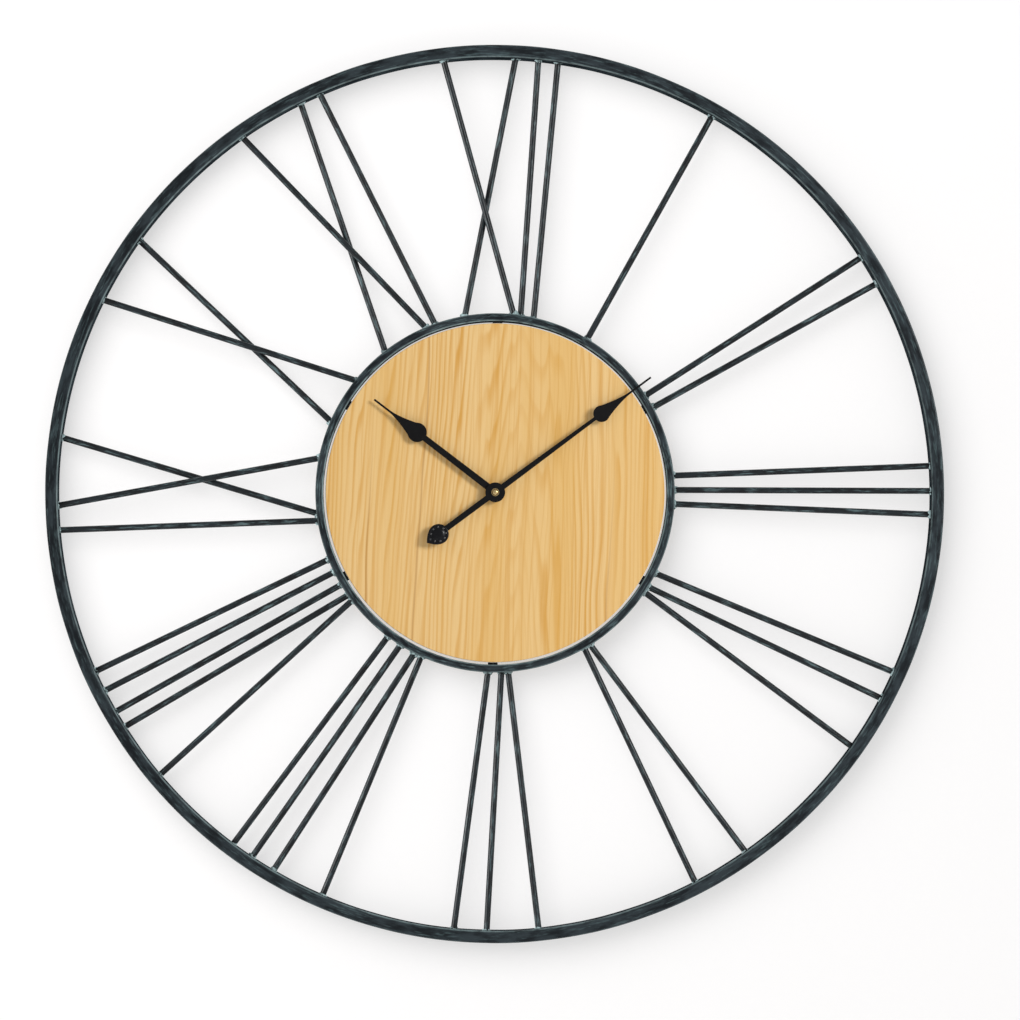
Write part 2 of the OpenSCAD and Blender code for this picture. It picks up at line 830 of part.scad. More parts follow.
// Plate and coned spring that press on the battery's flat end
module contact_spring() {
    first = spring_turns[0];
    last = spring_turns[len(spring_turns) - 1];
    color(steel) translate([-case_in, wall_y - battery_depth, battery_z]) {
        translate([0, -spring_plate / 2, -spring_plate / 2])
            cube([contact_t, spring_plate, spring_plate]);
        rotate([0, 90, 0]) for (turn = spring_turns) translate([0, 0, contact_t + turn[0]])
            rotate_extrude() translate([turn[1], 0]) circle(r = spring_wire_r, $fn = 16);
        translate([contact_t, -spring_wire_r, last[1]])
            cube([last[0], 2 * spring_wire_r, first[1] - last[1]]);
    }
}

module contact_tab() {
    color(steel) translate([case_in - contact_t, wall_y - battery_depth, battery_z])
        translate([0, -tab_plate / 2, -tab_plate / 2]) cube([contact_t, tab_plate, tab_plate]);
}

outer_hoop();
inner_ring();
numeral(1);  // numeral_1
numeral(2);  // numeral_2
numeral(3);  // numeral_3
numeral(4);  // numeral_4
numeral(5);  // numeral_5
numeral(6);  // numeral_6
numeral(7);  // numeral_7
numeral(8);  // numeral_8
numeral(9);  // numeral_9
numeral(10);  // numeral_10
numeral(11);  // numeral_11
numeral(12);  // numeral_12
hanger_plate();
wood_board();
board_tabs();
tab_screws();
movement_case();
movement_lid();
bushing();
gasket();
bushing_washer();
bushing_nut();
stator();
coil_core();
coil_bobbin();
coil_winding();
circuit_board();
chip();
quartz_crystal();
contact_spring();
contact_tab();
hour_wheel();
hour_collet();
hour_hand();
minute_arbor();
centre_wheel();
minute_boss();
minute_hand();
tail_weight();
hand_nut();
motion_wheel();
setting_knob();
third_wheel();
second_wheel();
step_wheel();
rotor();
battery();
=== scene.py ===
# %% [markdown]
# # A large wall clock with rod numerals
# This clock is a steel hoop and a steel ring, joined by thin rods that spell the hours in Roman
# numerals. A pine disc fills the ring, spade hands turn over it, and a small battery movement
# sits behind. The CAD model gives every size and place. This script gives the pieces their real
# surfaces, one step at a time, and each step prints what it made.

# %% Load the frame
import json
import math

import bmesh
import bpy
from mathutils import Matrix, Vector, noise


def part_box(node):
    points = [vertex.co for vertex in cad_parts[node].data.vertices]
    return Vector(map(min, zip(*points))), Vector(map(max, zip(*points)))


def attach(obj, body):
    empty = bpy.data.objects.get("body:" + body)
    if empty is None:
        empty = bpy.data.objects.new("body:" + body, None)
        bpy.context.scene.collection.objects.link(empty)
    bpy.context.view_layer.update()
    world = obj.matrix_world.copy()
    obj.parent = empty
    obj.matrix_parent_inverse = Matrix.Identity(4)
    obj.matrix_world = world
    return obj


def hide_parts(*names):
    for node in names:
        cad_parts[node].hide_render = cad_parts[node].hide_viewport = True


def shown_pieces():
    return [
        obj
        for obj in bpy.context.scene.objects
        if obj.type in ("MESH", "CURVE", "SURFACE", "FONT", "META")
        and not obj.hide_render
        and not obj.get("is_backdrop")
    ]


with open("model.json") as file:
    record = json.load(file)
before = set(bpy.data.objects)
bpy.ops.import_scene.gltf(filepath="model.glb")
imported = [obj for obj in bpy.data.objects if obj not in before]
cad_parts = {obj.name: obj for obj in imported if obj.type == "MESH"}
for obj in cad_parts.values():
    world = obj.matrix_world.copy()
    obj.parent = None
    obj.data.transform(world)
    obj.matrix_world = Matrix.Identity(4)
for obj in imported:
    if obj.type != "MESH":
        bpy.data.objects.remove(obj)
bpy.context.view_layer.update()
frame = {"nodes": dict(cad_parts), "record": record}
nodes = frame["nodes"]
MM = 0.001

# %% [markdown]
# ## The driving sizes
# The hoop and the ring are round about the Y axis, the dial looks along -Y, and the wall is the
# plane that the hoop's back rests on. So a few numbers, read from the boxes of the CAD nodes,
# place everything else.

# %% Read the driving sizes
hoop_low, hoop_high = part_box("outer_hoop")
ring_low, ring_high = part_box("inner_ring")
board_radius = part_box("wood_board")[1][0]
hoop_radius, ring_radius = hoop_high[0], ring_high[0]
hoop_face, ring_face = 11.0 * MM, 7.0 * MM
hoop_front, wall_y = hoop_low[1], hoop_high[1]
ring_front, ring_back = ring_low[1], ring_high[1]
print("hoop radius", round(hoop_radius, 4), "ring radius", round(ring_radius, 4))

# %% [markdown]
# ## Short names for node work
# Both shader trees and geometry trees are graphs of nodes and links. A few small helpers keep the
# graphs readable: one adds a node and fills its inputs, and the others are the sums, blends and
# noises that come up again and again.

# %% Helpers for node trees
def fill(tree, node, inputs):
    """Fills a node's inputs with values or links."""
    for key, value in inputs.items():
        if isinstance(value, bpy.types.NodeSocket):
            tree.links.new(value, node.inputs[key])
        else:
            node.inputs[key].default_value = value


def add_node(tree, kind, inputs=None, **settings):
    """Adds a node, sets its settings, and fills its inputs."""
    made = tree.nodes.new(kind)
    for name, value in settings.items():
        setattr(made, name, value)
    fill(tree, made, inputs or {})
    return made


def sum_of(tree, operation, a, b=0.0, clamp=False):
    """One Math node."""
    return add_node(
        tree, "ShaderNodeMath", {0: a, 1: b}, operation=operation, use_clamp=clamp).outputs[0]


def times(tree, a, b, clamp=False):
    """a times b."""
    return sum_of(tree, "MULTIPLY", a, b, clamp)


def plus(tree, a, b, clamp=False):
    """a plus b."""
    return sum_of(tree, "ADD", a, b, clamp)


def minus(tree, a, b):
    """a minus b."""
    return sum_of(tree, "SUBTRACT", a, b)


def length_of(tree, a, b):
    """The length that two distances at right angles make."""
    return sum_of(tree, "SQRT", plus(tree, times(tree, a, a), times(tree, b, b)))


def between(tree, value, low, high, to_low=0.0, to_high=1.0):
    """A value taken from one range to another with a soft start and end."""
    return add_node(
        tree, "ShaderNodeMapRange",
        {"Value": value, "From Min": low, "From Max": high, "To Min": to_low, "To Max": to_high},
        interpolation_type="SMOOTHSTEP",
    ).outputs["Result"]


def blend_colours(tree, amount, a, b):
    """Two colours mixed by an amount."""
    return add_node(tree, "ShaderNodeMix", {0: amount, 6: a, 7: b}, data_type="RGBA").outputs[2]


def noise_at(tree, vector, scale, detail=3.0, roughness=0.5, w=None):
    """Soft noise from 0 to 1, in three dimensions or four."""
    inputs = {"Vector": vector, "Scale": scale, "Detail": detail, "Roughness": roughness}
    if w is not None:
        inputs["W"] = w
    return add_node(
        tree, "ShaderNodeTexNoise", inputs, noise_dimensions="3D" if w is None else "4D",
    ).outputs["Fac"]


def streaks_at(tree, vector, stretch, detail=2.0, roughness=0.5, w=None):
    """Noise stretched into streaks, by scaling the three parts of its place apart."""
    place = add_node(tree, "ShaderNodeVectorMath", {0: vector, 1: stretch}, operation="MULTIPLY")
    return noise_at(tree, place.outputs[0], 1.0, detail, roughness, w)


def object_place(tree):
    """The place on the piece itself."""
    return tree.nodes.new("ShaderNodeTexCoord").outputs["Object"]


def parts_of(tree, vector):
    """The X, Y and Z of a vector."""
    return add_node(tree, "ShaderNodeSeparateXYZ", {0: vector}).outputs


def vector_of(tree, x, y, z):
    """Three numbers as one vector."""
    return add_node(tree, "ShaderNodeCombineXYZ", {0: x, 1: y, 2: z}).outputs[0]


def add_sockets(tree, way, rows):
    """Gives a group its inputs or outputs, from rows of name, kind and value."""
    for label, kind, value in rows:
        socket = tree.interface.new_socket(label, in_out=way, socket_type="NodeSocket" + kind)
        if value is not None:
            socket.default_value = value


# %% [markdown]
# ## Shader groups: one effect, many materials
# Brushed lacquer, sprayed paint, worked metal and moulded plastic each appear on several pieces.
# An effect like that is built once as a node group, and every material then uses it with its own
# values. A group puts out only what changes over the surface: a colour, a roughness and a height
# for the bump. The shader itself stays in each material.

# %% A frame for shader groups
def new_group(name, inputs):
    """An empty shader group with the three usual outputs, and the sockets of its inputs."""
    group = bpy.data.node_groups.new(name, "ShaderNodeTree")
    add_sockets(group, "INPUT", inputs)
    add_sockets(group, "OUTPUT", (
        ("Color", "Color", None), ("Roughness", "Float", None), ("Height", "Float", None)))
    return group, group.nodes.new("NodeGroupInput").outputs


def group_out(group, colour, roughness, height):
    """Links the three usual outputs."""
    add_node(group, "NodeGroupOutput", {"Color": colour, "Roughness": roughness, "Height": height})


# %% [markdown]
# ### Brushed lacquer
# The steel is wiped by hand with a blue-grey lacquer and then rubbed, so dark patches and pale
# teal streaks run along each bar, and the edges rub through to a lighter tone. Along the front
# edges of the hoop and the ring, that pale tone is also a painted highlight. The pattern needs
# to know which way is along. So it takes a place across the bar in X and Y, and a place along it
# in Z and W. Four numbers let a closed hoop have streaks with no seam.

# %% Brushed lacquer group
lacquer, on_bar = new_group("Brushed lacquer", (
    ("Across and along", "Vector", None), ("W", "Float", 0.0), ("Wear and edge highlight", "Float", 0.0),
    ("Dark", "Color", (0.007, 0.010, 0.013, 1)), ("Body", "Color", (0.030, 0.041, 0.048, 1)),
    ("Streak", "Color", (0.12, 0.18, 0.19, 1)), ("Bare and highlight", "Color", (0.32, 0.43, 0.44, 1)),
    ("Streak amount", "Float", 0.5),
))


def bar_noise(across, along, detail, roughness):
    """Noise on a bar, with one scale across it and one along it."""
    return streaks_at(lacquer, on_bar["Across and along"], (across, across, along),
                      detail, roughness, times(lacquer, on_bar["W"], along))


patches = bar_noise(170, 42, 4.0, 0.6)
lines = bar_noise(640, 75, 5.0, 0.62)
edge_tone_noise = bar_noise(300, 85, 3.0, 0.6)
ground = blend_colours(
    lacquer, between(lacquer, patches, 0.38, 0.62), on_bar["Dark"], on_bar["Body"])
streak_mask = times(lacquer, between(lacquer, lines, 0.50, 0.72), on_bar["Streak amount"])
streaked = blend_colours(lacquer, streak_mask, ground, on_bar["Streak"])
# The pale tone is rub-through wear. Along the front edges of the hoop and the ring it is also a painted
# highlight.
wear_and_highlight_mask = times(lacquer, on_bar["Wear and edge highlight"], between(lacquer, edge_tone_noise, 0.26, 0.60), clamp=True)
coloured = blend_colours(lacquer, wear_and_highlight_mask, streaked, on_bar["Bare and highlight"])
shine = between(lacquer, lines, 0.3, 0.75, 0.42, 0.30)
group_out(lacquer, coloured, shine, plus(lacquer, lines, times(lacquer, patches, 0.6)))
print("group:", lacquer.name)

# %% [markdown]
# ### Sprayed paint, worked metal and moulded plastic
# Sprayed paint has a fine orange peel and a little dust. Worked metal keeps the fine lines of the
# tool that made it, and dulls in soft clouds. Moulded plastic copies the spark-eroded skin of its
# mould, with faint flow marks. All three read the place on the piece itself.

# %% Three more groups
def finish_group(name):
    """An empty group for a finish of a body colour and a second colour over it."""
    return new_group(name, (("Place", "Vector", None), ("Body", "Color", None),
                            ("Second", "Color", None), ("Dullness", "Float", None)))


paint, given = finish_group("Sprayed paint")
peel = noise_at(paint, given["Place"], 1500)
clouds = noise_at(paint, given["Place"], 90, 4.0, 0.6)
specks = between(paint, noise_at(paint, given["Place"], 2600, 2.0, 0.7), 0.66, 0.78)
dusty = times(paint, between(paint, clouds, 0.4, 0.7), 0.16)
dusted = blend_colours(paint, dusty, given["Body"], given["Second"])
dusted = blend_colours(paint, times(paint, specks, 0.25), dusted, given["Second"])
dulled = plus(paint, given["Dullness"], between(paint, clouds, 0.3, 0.7, -0.05, 0.09))
group_out(paint, dusted, dulled, peel)

metal, given = finish_group("Worked metal")
tool_lines = streaks_at(metal, given["Place"], (3200, 900, 260), 4.0, 0.6)
clouds = noise_at(metal, given["Place"], 210, 4.0, 0.62)
tone = plus(metal, between(metal, clouds, 0.42, 0.75, 0.0, 0.45),
            between(metal, tool_lines, 0.45, 0.8, 0.0, 0.3), clamp=True)
toned = blend_colours(metal, tone, given["Body"], given["Second"])
dulled = plus(metal, given["Dullness"], between(metal, tool_lines, 0.3, 0.7, -0.04, 0.12))
group_out(metal, toned, dulled, tool_lines)

moulded, given = finish_group("Moulded plastic")
skin = noise_at(moulded, given["Place"], 2400, 4.0, 0.6)
flow = streaks_at(moulded, given["Place"], (60, 60, 25), 3.0)
flowed = blend_colours(
    moulded, between(moulded, flow, 0.4, 0.7, 0.0, 0.5), given["Body"], given["Second"])
dulled = plus(moulded, given["Dullness"], between(moulded, skin, 0.3, 0.7, -0.04, 0.08))
group_out(moulded, flowed, dulled, skin)
print("groups:", paint.name, metal.name, moulded.name)

# %% [markdown]
# ## Materials
# A material holds one Principled BSDF. The group's colour and roughness feed it, and its height
# goes through a Bump node to the normal. What is the same all over, such as metalness or a clear
# coat, is set on the shader's own socket.

# %% A frame for materials
def new_material(name, **constants):
    """A material with its shader, and the constants set on the shader's sockets."""
    made = bpy.data.materials.new(name)
    made.use_nodes = True
    shader = made.node_tree.nodes["Principled BSDF"]
    for label, value in constants.items():
        shader.inputs[label.replace("_", " ")].default_value = value
    made.diffuse_color = (0.5, 0.5, 0.5, 1)
    return made, made.node_tree, shader


def finish_shader(tree, shader, colour, roughness, height, bump, bump_distance=0.1 * MM):
    """Feeds a shader its colour, its roughness and, through a Bump node, its relief."""
    bumped = add_node(tree, "ShaderNodeBump", {
        "Strength": bump, "Distance": bump_distance, "Height": height})
    fill(tree, shader, {
        "Base Color": colour, "Roughness": roughness, "Normal": bumped.outputs["Normal"]})


def plug_group(tree, shader, group, values, bump, bump_distance=0.1 * MM):
    """Places a group in a material and feeds the shader from its three outputs."""
    placed = add_node(tree, "ShaderNodeGroup", node_tree=group)
    fill(tree, placed, values)
    finish_shader(tree, shader, *placed.outputs, bump, bump_distance)


def simple_material(name, group, body, second, dullness, bump=0.1, **constants):
    """A material that needs only one of the three simpler groups."""
    made, tree, shader = new_material(name, **constants)
    plug_group(tree, shader, group, {
        "Place": object_place(tree), "Body": (*body, 1), "Second": (*second, 1),
        "Dullness": dullness}, bump)
    return made


# %% [markdown]
# ### Lacquer round the hoop and the ring
# On a hoop, along means round. The place on the hoop is split into its distance from the axis,
# its depth, and its heading, which is two numbers, the cosine and the sine. A pale edge line comes
# from the same numbers: it grows where a point is close to both the front and a side of the bar.
# It is partly rub-through and partly a painted highlight, the light a rounded front edge catches.
# The shine ends just behind the front, because a side wall is seen at a grazing angle, where even
# a weak shine would mirror the white room and turn the wall pale.

# %% Lacquer on a round bar
def round_bar_material(name, outer, face, front, back, streak_amount, highlight_and_wear_reach):
    """Lacquer whose streaks run round the Y axis, with a front-edge line of wear and painted highlight.
    """
    made, tree, shader = new_material(name)
    x, y, z = parts_of(tree, object_place(tree))
    reach = length_of(tree, x, z)
    middle = outer - face / 2
    from_middle = minus(tree, reach, middle)
    heading_x, heading_z = (
        times(tree, sum_of(tree, "DIVIDE", part, reach), middle) for part in (x, z))
    side_gap = minus(tree, face / 2, sum_of(tree, "ABSOLUTE", from_middle))
    from_mid_depth = sum_of(tree, "ABSOLUTE", minus(tree, y, (front + back) / 2))
    face_gap = minus(tree, (back - front) / 2, from_mid_depth)
    # The pale line along the front edges is partly rub-through wear and partly a painted highlight.
    near_edge = between(tree, plus(tree, side_gap, face_gap), 0.0, highlight_and_wear_reach, 1.0, 0.0)
    on_front = between(tree, y, front + 1.5 * highlight_and_wear_reach, front + 2.5 * highlight_and_wear_reach, 1.0, 0.0)
    fill(tree, shader, {
        "Specular IOR Level": between(tree, y, front + 1.0 * MM, front + 2.0 * MM, 0.18, 0.0)})
    plug_group(tree, shader, lacquer, {
        "Across and along": vector_of(tree, from_middle, y, heading_x), "W": heading_z,
        "Wear and edge highlight": times(tree, near_edge, on_front), "Streak amount": streak_amount},
        bump=0.22, bump_distance=0.3 * MM)
    return made


hoop_lacquer = round_bar_material(
    "gunmetal hoop lacquer", hoop_radius, hoop_face, hoop_front, wall_y, 0.5, 1.4 * MM)
ring_lacquer = round_bar_material(
    "gunmetal ring lacquer", ring_radius, ring_face, ring_front, ring_back, 0.9, 1.5 * MM)
print("materials:", hoop_lacquer.name, ring_lacquer.name)

# %% [markdown]
# ### Lacquer along the rods
# Each rod carries its own map: where a point lies across the rod, and how far along. The geometry
# step below stores it as an attribute, with a number for each rod so that no two look the same.
# A second attribute marks the weld beads, which are rubbed almost bare.

# %% Lacquer on rods and weld beads
rod_lacquer, tree, shader = new_material("gunmetal rod lacquer", Specular_IOR_Level=0.28)
grain, rod_number, weld = (
    add_node(tree, "ShaderNodeAttribute", attribute_name=name)
    for name in ("grain", "rod_number", "weld"))
rod_spacing = 3.7  # how far apart in the pattern two rods lie
plug_group(tree, shader, lacquer, {
    "Across and along": grain.outputs["Vector"],
    "W": times(tree, rod_number.outputs["Fac"], rod_spacing), "Wear and edge highlight": weld.outputs["Fac"],
    "Dark": (0.003, 0.004, 0.005, 1), "Body": (0.008, 0.012, 0.015, 1),
    "Streak amount": 0.70}, bump=0.2, bump_distance=0.3 * MM)

# %% [markdown]
# ### Pine
# A flat-sawn pine board shows soft bands of spring wood, thin darker lines of summer wood, and,
# where the saw came close to a ring's edge, a broad calm field with long arches. The rings of a
# real trunk are cones, so the distance from a slightly leaning axis, bent by slow noise, gives the
# bands and the arches together. Fine fibres and short pores run straight up the board.

# %% Pine for the dial board
pine, tree, shader = new_material("clear-lacquered pine", Specular_IOR_Level=0.25)
place = object_place(tree)
x, y, z = parts_of(tree, place)
heart_x, tip_below, lean, taper = 24 * MM, 190 * MM, 0.045, 0.13
rings_per_metre = 190.0


def swayed(value, stretch, reach):
    """A value moved either way by slow noise, up to a reach."""
    slow = streaks_at(tree, place, stretch)
    return plus(tree, value, between(tree, slow, 0.2, 0.8, -reach, reach))


across = minus(tree, minus(tree, x, times(tree, z, lean)), heart_x)
across = swayed(across, (11, 11, 4.0), 5 * MM)
across = swayed(across, (55, 55, 9), 0.7 * MM)
height = times(tree, plus(tree, z, tip_below), taper)
ring_count = times(tree, length_of(tree, across, height), rings_per_metre)
phase = sum_of(tree, "FRACT", swayed(ring_count, (40, 40, 1.2), 1.2))
band = times(tree, between(tree, phase, 0.35, 0.78), between(tree, phase, 0.82, 0.98, 1.0, 0.0))
band_strength = between(tree, streaks_at(tree, place, (75, 75, 2.4)), 0.30, 0.70, 0.20, 0.80)
calm = between(tree, sum_of(tree, "ABSOLUTE", across), 8 * MM, 34 * MM, 0.35, 1.0)
band = times(tree, times(tree, band, band_strength), calm)
warm = streaks_at(tree, place, (26, 26, 1.3))
straight = vector_of(tree, across, y, z)
fine_lines = streaks_at(tree, straight, (420, 420, 2.2), 3.0, 0.55)
fibres = streaks_at(tree, place, (1700, 1700, 24), 3.0, 0.6)
dark_lines = streaks_at(tree, straight, (130, 130, 0.9), 1.0, 0.4)
rim, lit_rim_edge = length_of(tree, x, z), board_radius - 0.1 * MM
spring_wood, summer_wood = (0.875, 0.595, 0.262, 1), (0.680, 0.325, 0.045, 1)
honey, fibre_brown = (0.790, 0.460, 0.120, 1), (0.60, 0.33, 0.11, 1)
resin_brown, rim_light_pale = (0.46, 0.20, 0.035, 1), (0.90, 0.88, 0.82, 1)
colour = blend_colours(tree, band, spring_wood, summer_wood)
for pattern, low, high, amount, tone in (
    (warm, 0.40, 0.72, 0.50, honey), (fine_lines, 0.48, 0.70, 0.42, summer_wood),
    (fibres, 0.30, 0.75, 0.14, fibre_brown), (dark_lines, 0.69, 0.73, 0.50, resin_brown),
    # This row paints a pale band at the board's rim: painted light that stands for the bright backdrop
    # seen through the gap between board and ring.
    (rim, lit_rim_edge - 0.4 * MM, lit_rim_edge, 1.0, rim_light_pale),
):
    colour = blend_colours(tree, between(tree, pattern, low, high, 0.0, amount), colour, tone)
finish_shader(tree, shader, colour, between(tree, fibres, 0.3, 0.7, 0.50, 0.62),
              plus(tree, fibres, times(tree, band, -0.5)), 0.10, 0.2 * MM)
print("materials:", rod_lacquer.name, pine.name)

# %% [markdown]
# ### The small parts' materials
# The rest are plain finishes. Each one is a call with a body colour, a second colour for clouds
# or dust, and how dull it is.

# %% Small parts' materials
def metallic(name, body, tarnish, dullness, **constants):
    """Bare or plated metal."""
    return simple_material(name, metal, body, tarnish, dullness, 0.08, Metallic=1.0, **constants)


hand_black = simple_material(
    "matt black hand paint", paint, (0.0035, 0.0035, 0.004), (0.012, 0.012, 0.013), 0.50,
    Specular_IOR_Level=0.14)
weight_black = simple_material(
    "black enamel", paint, (0.003, 0.003, 0.0045), (0.012, 0.012, 0.016), 0.30,
    Specular_IOR_Level=0.22)
# The beads are a little lighter than the drop: a painted sheen for the specks of light along its
# border.
bead_black_painted_sheen = simple_material(
    "polished black beads with painted sheen", paint, (0.012, 0.012, 0.015), (0.06, 0.06, 0.07), 0.24,
    Specular_IOR_Level=0.8, Coat_Weight=0.5, Coat_Roughness=0.16)
tab_black = simple_material(
    "satin black tab paint", paint, (0.0025, 0.0025, 0.0025), (0.008, 0.008, 0.008), 0.45,
    Specular_IOR_Level=0.12)
brass = metallic("turned brass", (0.72, 0.54, 0.26), (0.40, 0.27, 0.11), 0.24)
zinc = metallic("zinc plate", (0.66, 0.67, 0.69), (0.42, 0.43, 0.45), 0.30)
iron = metallic("stamped iron", (0.52, 0.53, 0.55), (0.33, 0.34, 0.36), 0.36)
copper = metallic("enamelled copper wire", (0.78, 0.33, 0.14), (0.48, 0.17, 0.07), 0.28,
                  Coat_Weight=0.5, Coat_Roughness=0.15)
case_black = simple_material(
    "black case plastic", moulded, (0.022, 0.022, 0.024), (0.035, 0.035, 0.037), 0.56, 0.18)
gear_white = simple_material(
    "natural gear plastic", moulded, (0.72, 0.70, 0.62), (0.60, 0.57, 0.48), 0.34, 0.05,
    Subsurface_Weight=0.05)
rubber = simple_material(
    "black rubber", moulded, (0.018, 0.018, 0.018), (0.030, 0.030, 0.030), 0.74, 0.12)
card_green = simple_material(
    "green circuit card", moulded, (0.012, 0.13, 0.045), (0.02, 0.19, 0.06), 0.30, 0.04)
print("materials so far:", len(bpy.data.materials))

# %% [markdown]
# ### The battery's printed sleeve
# A cell wears a shrunk film sleeve. Here it is plain: a dark body and a copper-coloured shoulder
# near the positive end, with no lettering and a few scuffs along it. The sleeve stops short of
# both ends, where the bare can shows.

# %% Battery sleeve
battery_low, battery_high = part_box("battery")
sleeve, tree, shader = new_material("battery sleeve", Coat_Weight=0.6, Coat_Roughness=0.12)
place = object_place(tree)
along_cell = parts_of(tree, place)[0]


def change_at(at, half_width, *levels):
    """A soft change at one place along the cell."""
    return between(tree, along_cell, at - half_width, at + half_width, *levels)


shoulder = change_at(battery_high[0] - 13 * MM, 0.15 * MM)
bare_ends = plus(tree, change_at(battery_low[0] + 0.4 * MM, 0.1 * MM, 1.0, 0.0),
                 change_at(battery_high[0] - 2.0 * MM, 0.1 * MM), clamp=True)
scuffs = streaks_at(tree, place, (120, 700, 700), 4.0, 0.6)
film = (0.02, 0.021, 0.024, 1)
for amount, tone in (
    (shoulder, (0.52, 0.25, 0.10, 1)),
    (between(tree, scuffs, 0.55, 0.8, 0.0, 0.35), (0.16, 0.16, 0.17, 1)),
    (bare_ends, (0.60, 0.61, 0.63, 1)),
):
    film = blend_colours(tree, amount, film, tone)
fill(tree, shader, {"Metallic": between(tree, bare_ends, 0.0, 1.0, 0.3, 1.0)})
finish_shader(tree, shader, film, between(tree, scuffs, 0.3, 0.7, 0.22, 0.40), scuffs, 0.12)
print("material:", sleeve.name)

# %% [markdown]
# ## The CAD nodes get their finishes
# A CAD node whose shape is right stays as it is and only changes its material. The table gives
# each record slot its finish, and every node takes the finish of the slot that it already has.

# %% Finish every CAD node
finish_of_slot = {
    "hoop": hoop_lacquer, "rods": rod_lacquer, "board": pine, "tabs": tab_black, "screws": zinc,
    "hanger": tab_black, "hands": hand_black, "weight": weight_black, "brass": brass,
    "case": case_black, "gears": gear_white, "iron": iron, "copper": copper, "rubber": rubber,
    "card": card_green, "battery": sleeve,
}
slot_of_node = {row["node"]: row["material_slot"] for row in frame["record"]["subparts"]}
for name, obj in nodes.items():
    for index in range(len(obj.material_slots)):
        obj.material_slots[index].material = finish_of_slot[slot_of_node[name]]
print("finished", len(nodes), "CAD nodes")

# %% [markdown]
# ## Helpers that make pieces
# Most hardware is turned, so one helper spins a profile about an axis. Sheet parts and castings
# have their edges broken, so a second helper copies a CAD node, merges its loose triangles and
# bevels the sharp edges by a fraction of a millimetre. A third settles a finished piece: it rides
# on its body and takes the place of its CAD node.

# %% Piece helpers
def in_scene(name, data):
    """A new object, linked into the scene."""
    made = bpy.data.objects.new(name, data)
    bpy.context.scene.collection.objects.link(made)
    return made


def new_piece(name, mesh, material):
    """An object at the origin for a mesh that is already in its place."""
    piece = in_scene(name, mesh)
    mesh.materials.clear()
    mesh.materials.append(material)
    return piece


def settle(piece, body, replaced=()):
    """The piece rides on its body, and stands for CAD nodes."""
    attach(piece, body)
    if replaced:
        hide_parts(*replaced)
    return piece


def smooth_by_angle(mesh, degrees):
    """Smooth shading with crisp edges where the surface turns sharply."""
    mesh.shade_smooth()
    mesh.set_sharp_from_angle(angle=math.radians(degrees))


def shaded_mesh(bm, name, degrees):
    """A worked mesh made final, shaded smooth up to an angle."""
    mesh = bpy.data.meshes.new(name)
    bm.to_mesh(mesh)
    bm.free()
    smooth_by_angle(mesh, degrees)
    return mesh


def turned(name, profile, steps, material, centre=(0.0, 0.0), axis="Y"):
    """Spins a profile of (radius, place along the axis) points about an axis through centre.
    A closed profile makes a ring; one that starts and ends at radius 0 makes a solid."""
    solid = profile[0][0] == 0.0
    bm = bmesh.new()
    rows = []
    for step in range(steps):
        turn = math.tau * step / steps
        row = []
        for radius, along in profile:
            a, b = centre[0] + radius * math.cos(turn), centre[1] + radius * math.sin(turn)
            row.append(bm.verts.new((a, along, b) if axis == "Y" else (along, a, b)))
        rows.append(row)
    count = len(profile)
    for step in range(steps):
        this, following = rows[step], rows[(step + 1) % steps]
        for k in range(count - 1 if solid else count):
            m = (k + 1) % count
            bm.faces.new((this[k], this[m], following[m], following[k]))
    bmesh.ops.remove_doubles(bm, verts=bm.verts, dist=1e-7)
    bmesh.ops.dissolve_degenerate(bm, edges=bm.edges, dist=1e-8)
    bmesh.ops.recalc_face_normals(bm, faces=bm.faces)
    return new_piece(name, shaded_mesh(bm, name, 32.0), material)


def plain_mesh_of(piece, name):
    """The piece's mesh with its modifiers worked in, on a new object."""
    ready = piece.evaluated_get(bpy.context.evaluated_depsgraph_get())
    mesh = bpy.data.meshes.new_from_object(ready)
    mesh.name = name
    material = piece.data.materials[0] if piece.data.materials else mesh.materials[0]
    bpy.data.objects.remove(piece)
    return new_piece(name, mesh, material)


def softened(node_name, width, material):
    """A copy of a CAD node with its loose triangles merged and its sharp edges broken."""
    edge_angle = 38.0
    bm = bmesh.new()
    bm.from_mesh(nodes[node_name].data)
    bmesh.ops.remove_doubles(bm, verts=bm.verts, dist=1e-6)
    bmesh.ops.dissolve_limit(bm, angle_limit=math.radians(0.5), verts=bm.verts, edges=bm.edges)
    rough = new_piece(
        node_name + "_rough", shaded_mesh(bm, node_name + "_soft", edge_angle), material)
    bevel = rough.modifiers.new("broken edges", "BEVEL")
    bevel.width, bevel.segments = width, 2
    bevel.limit_method, bevel.angle_limit = "ANGLE", math.radians(edge_angle)
    bevel.use_clamp_overlap = True
    bevel.harden_normals = True
    bpy.context.view_layer.update()
    return plain_mesh_of(rough, node_name + "_finished")


def heading(degrees):
    """The cosine and the sine of an angle."""
    return math.cos(math.radians(degrees)), math.sin(math.radians(degrees))


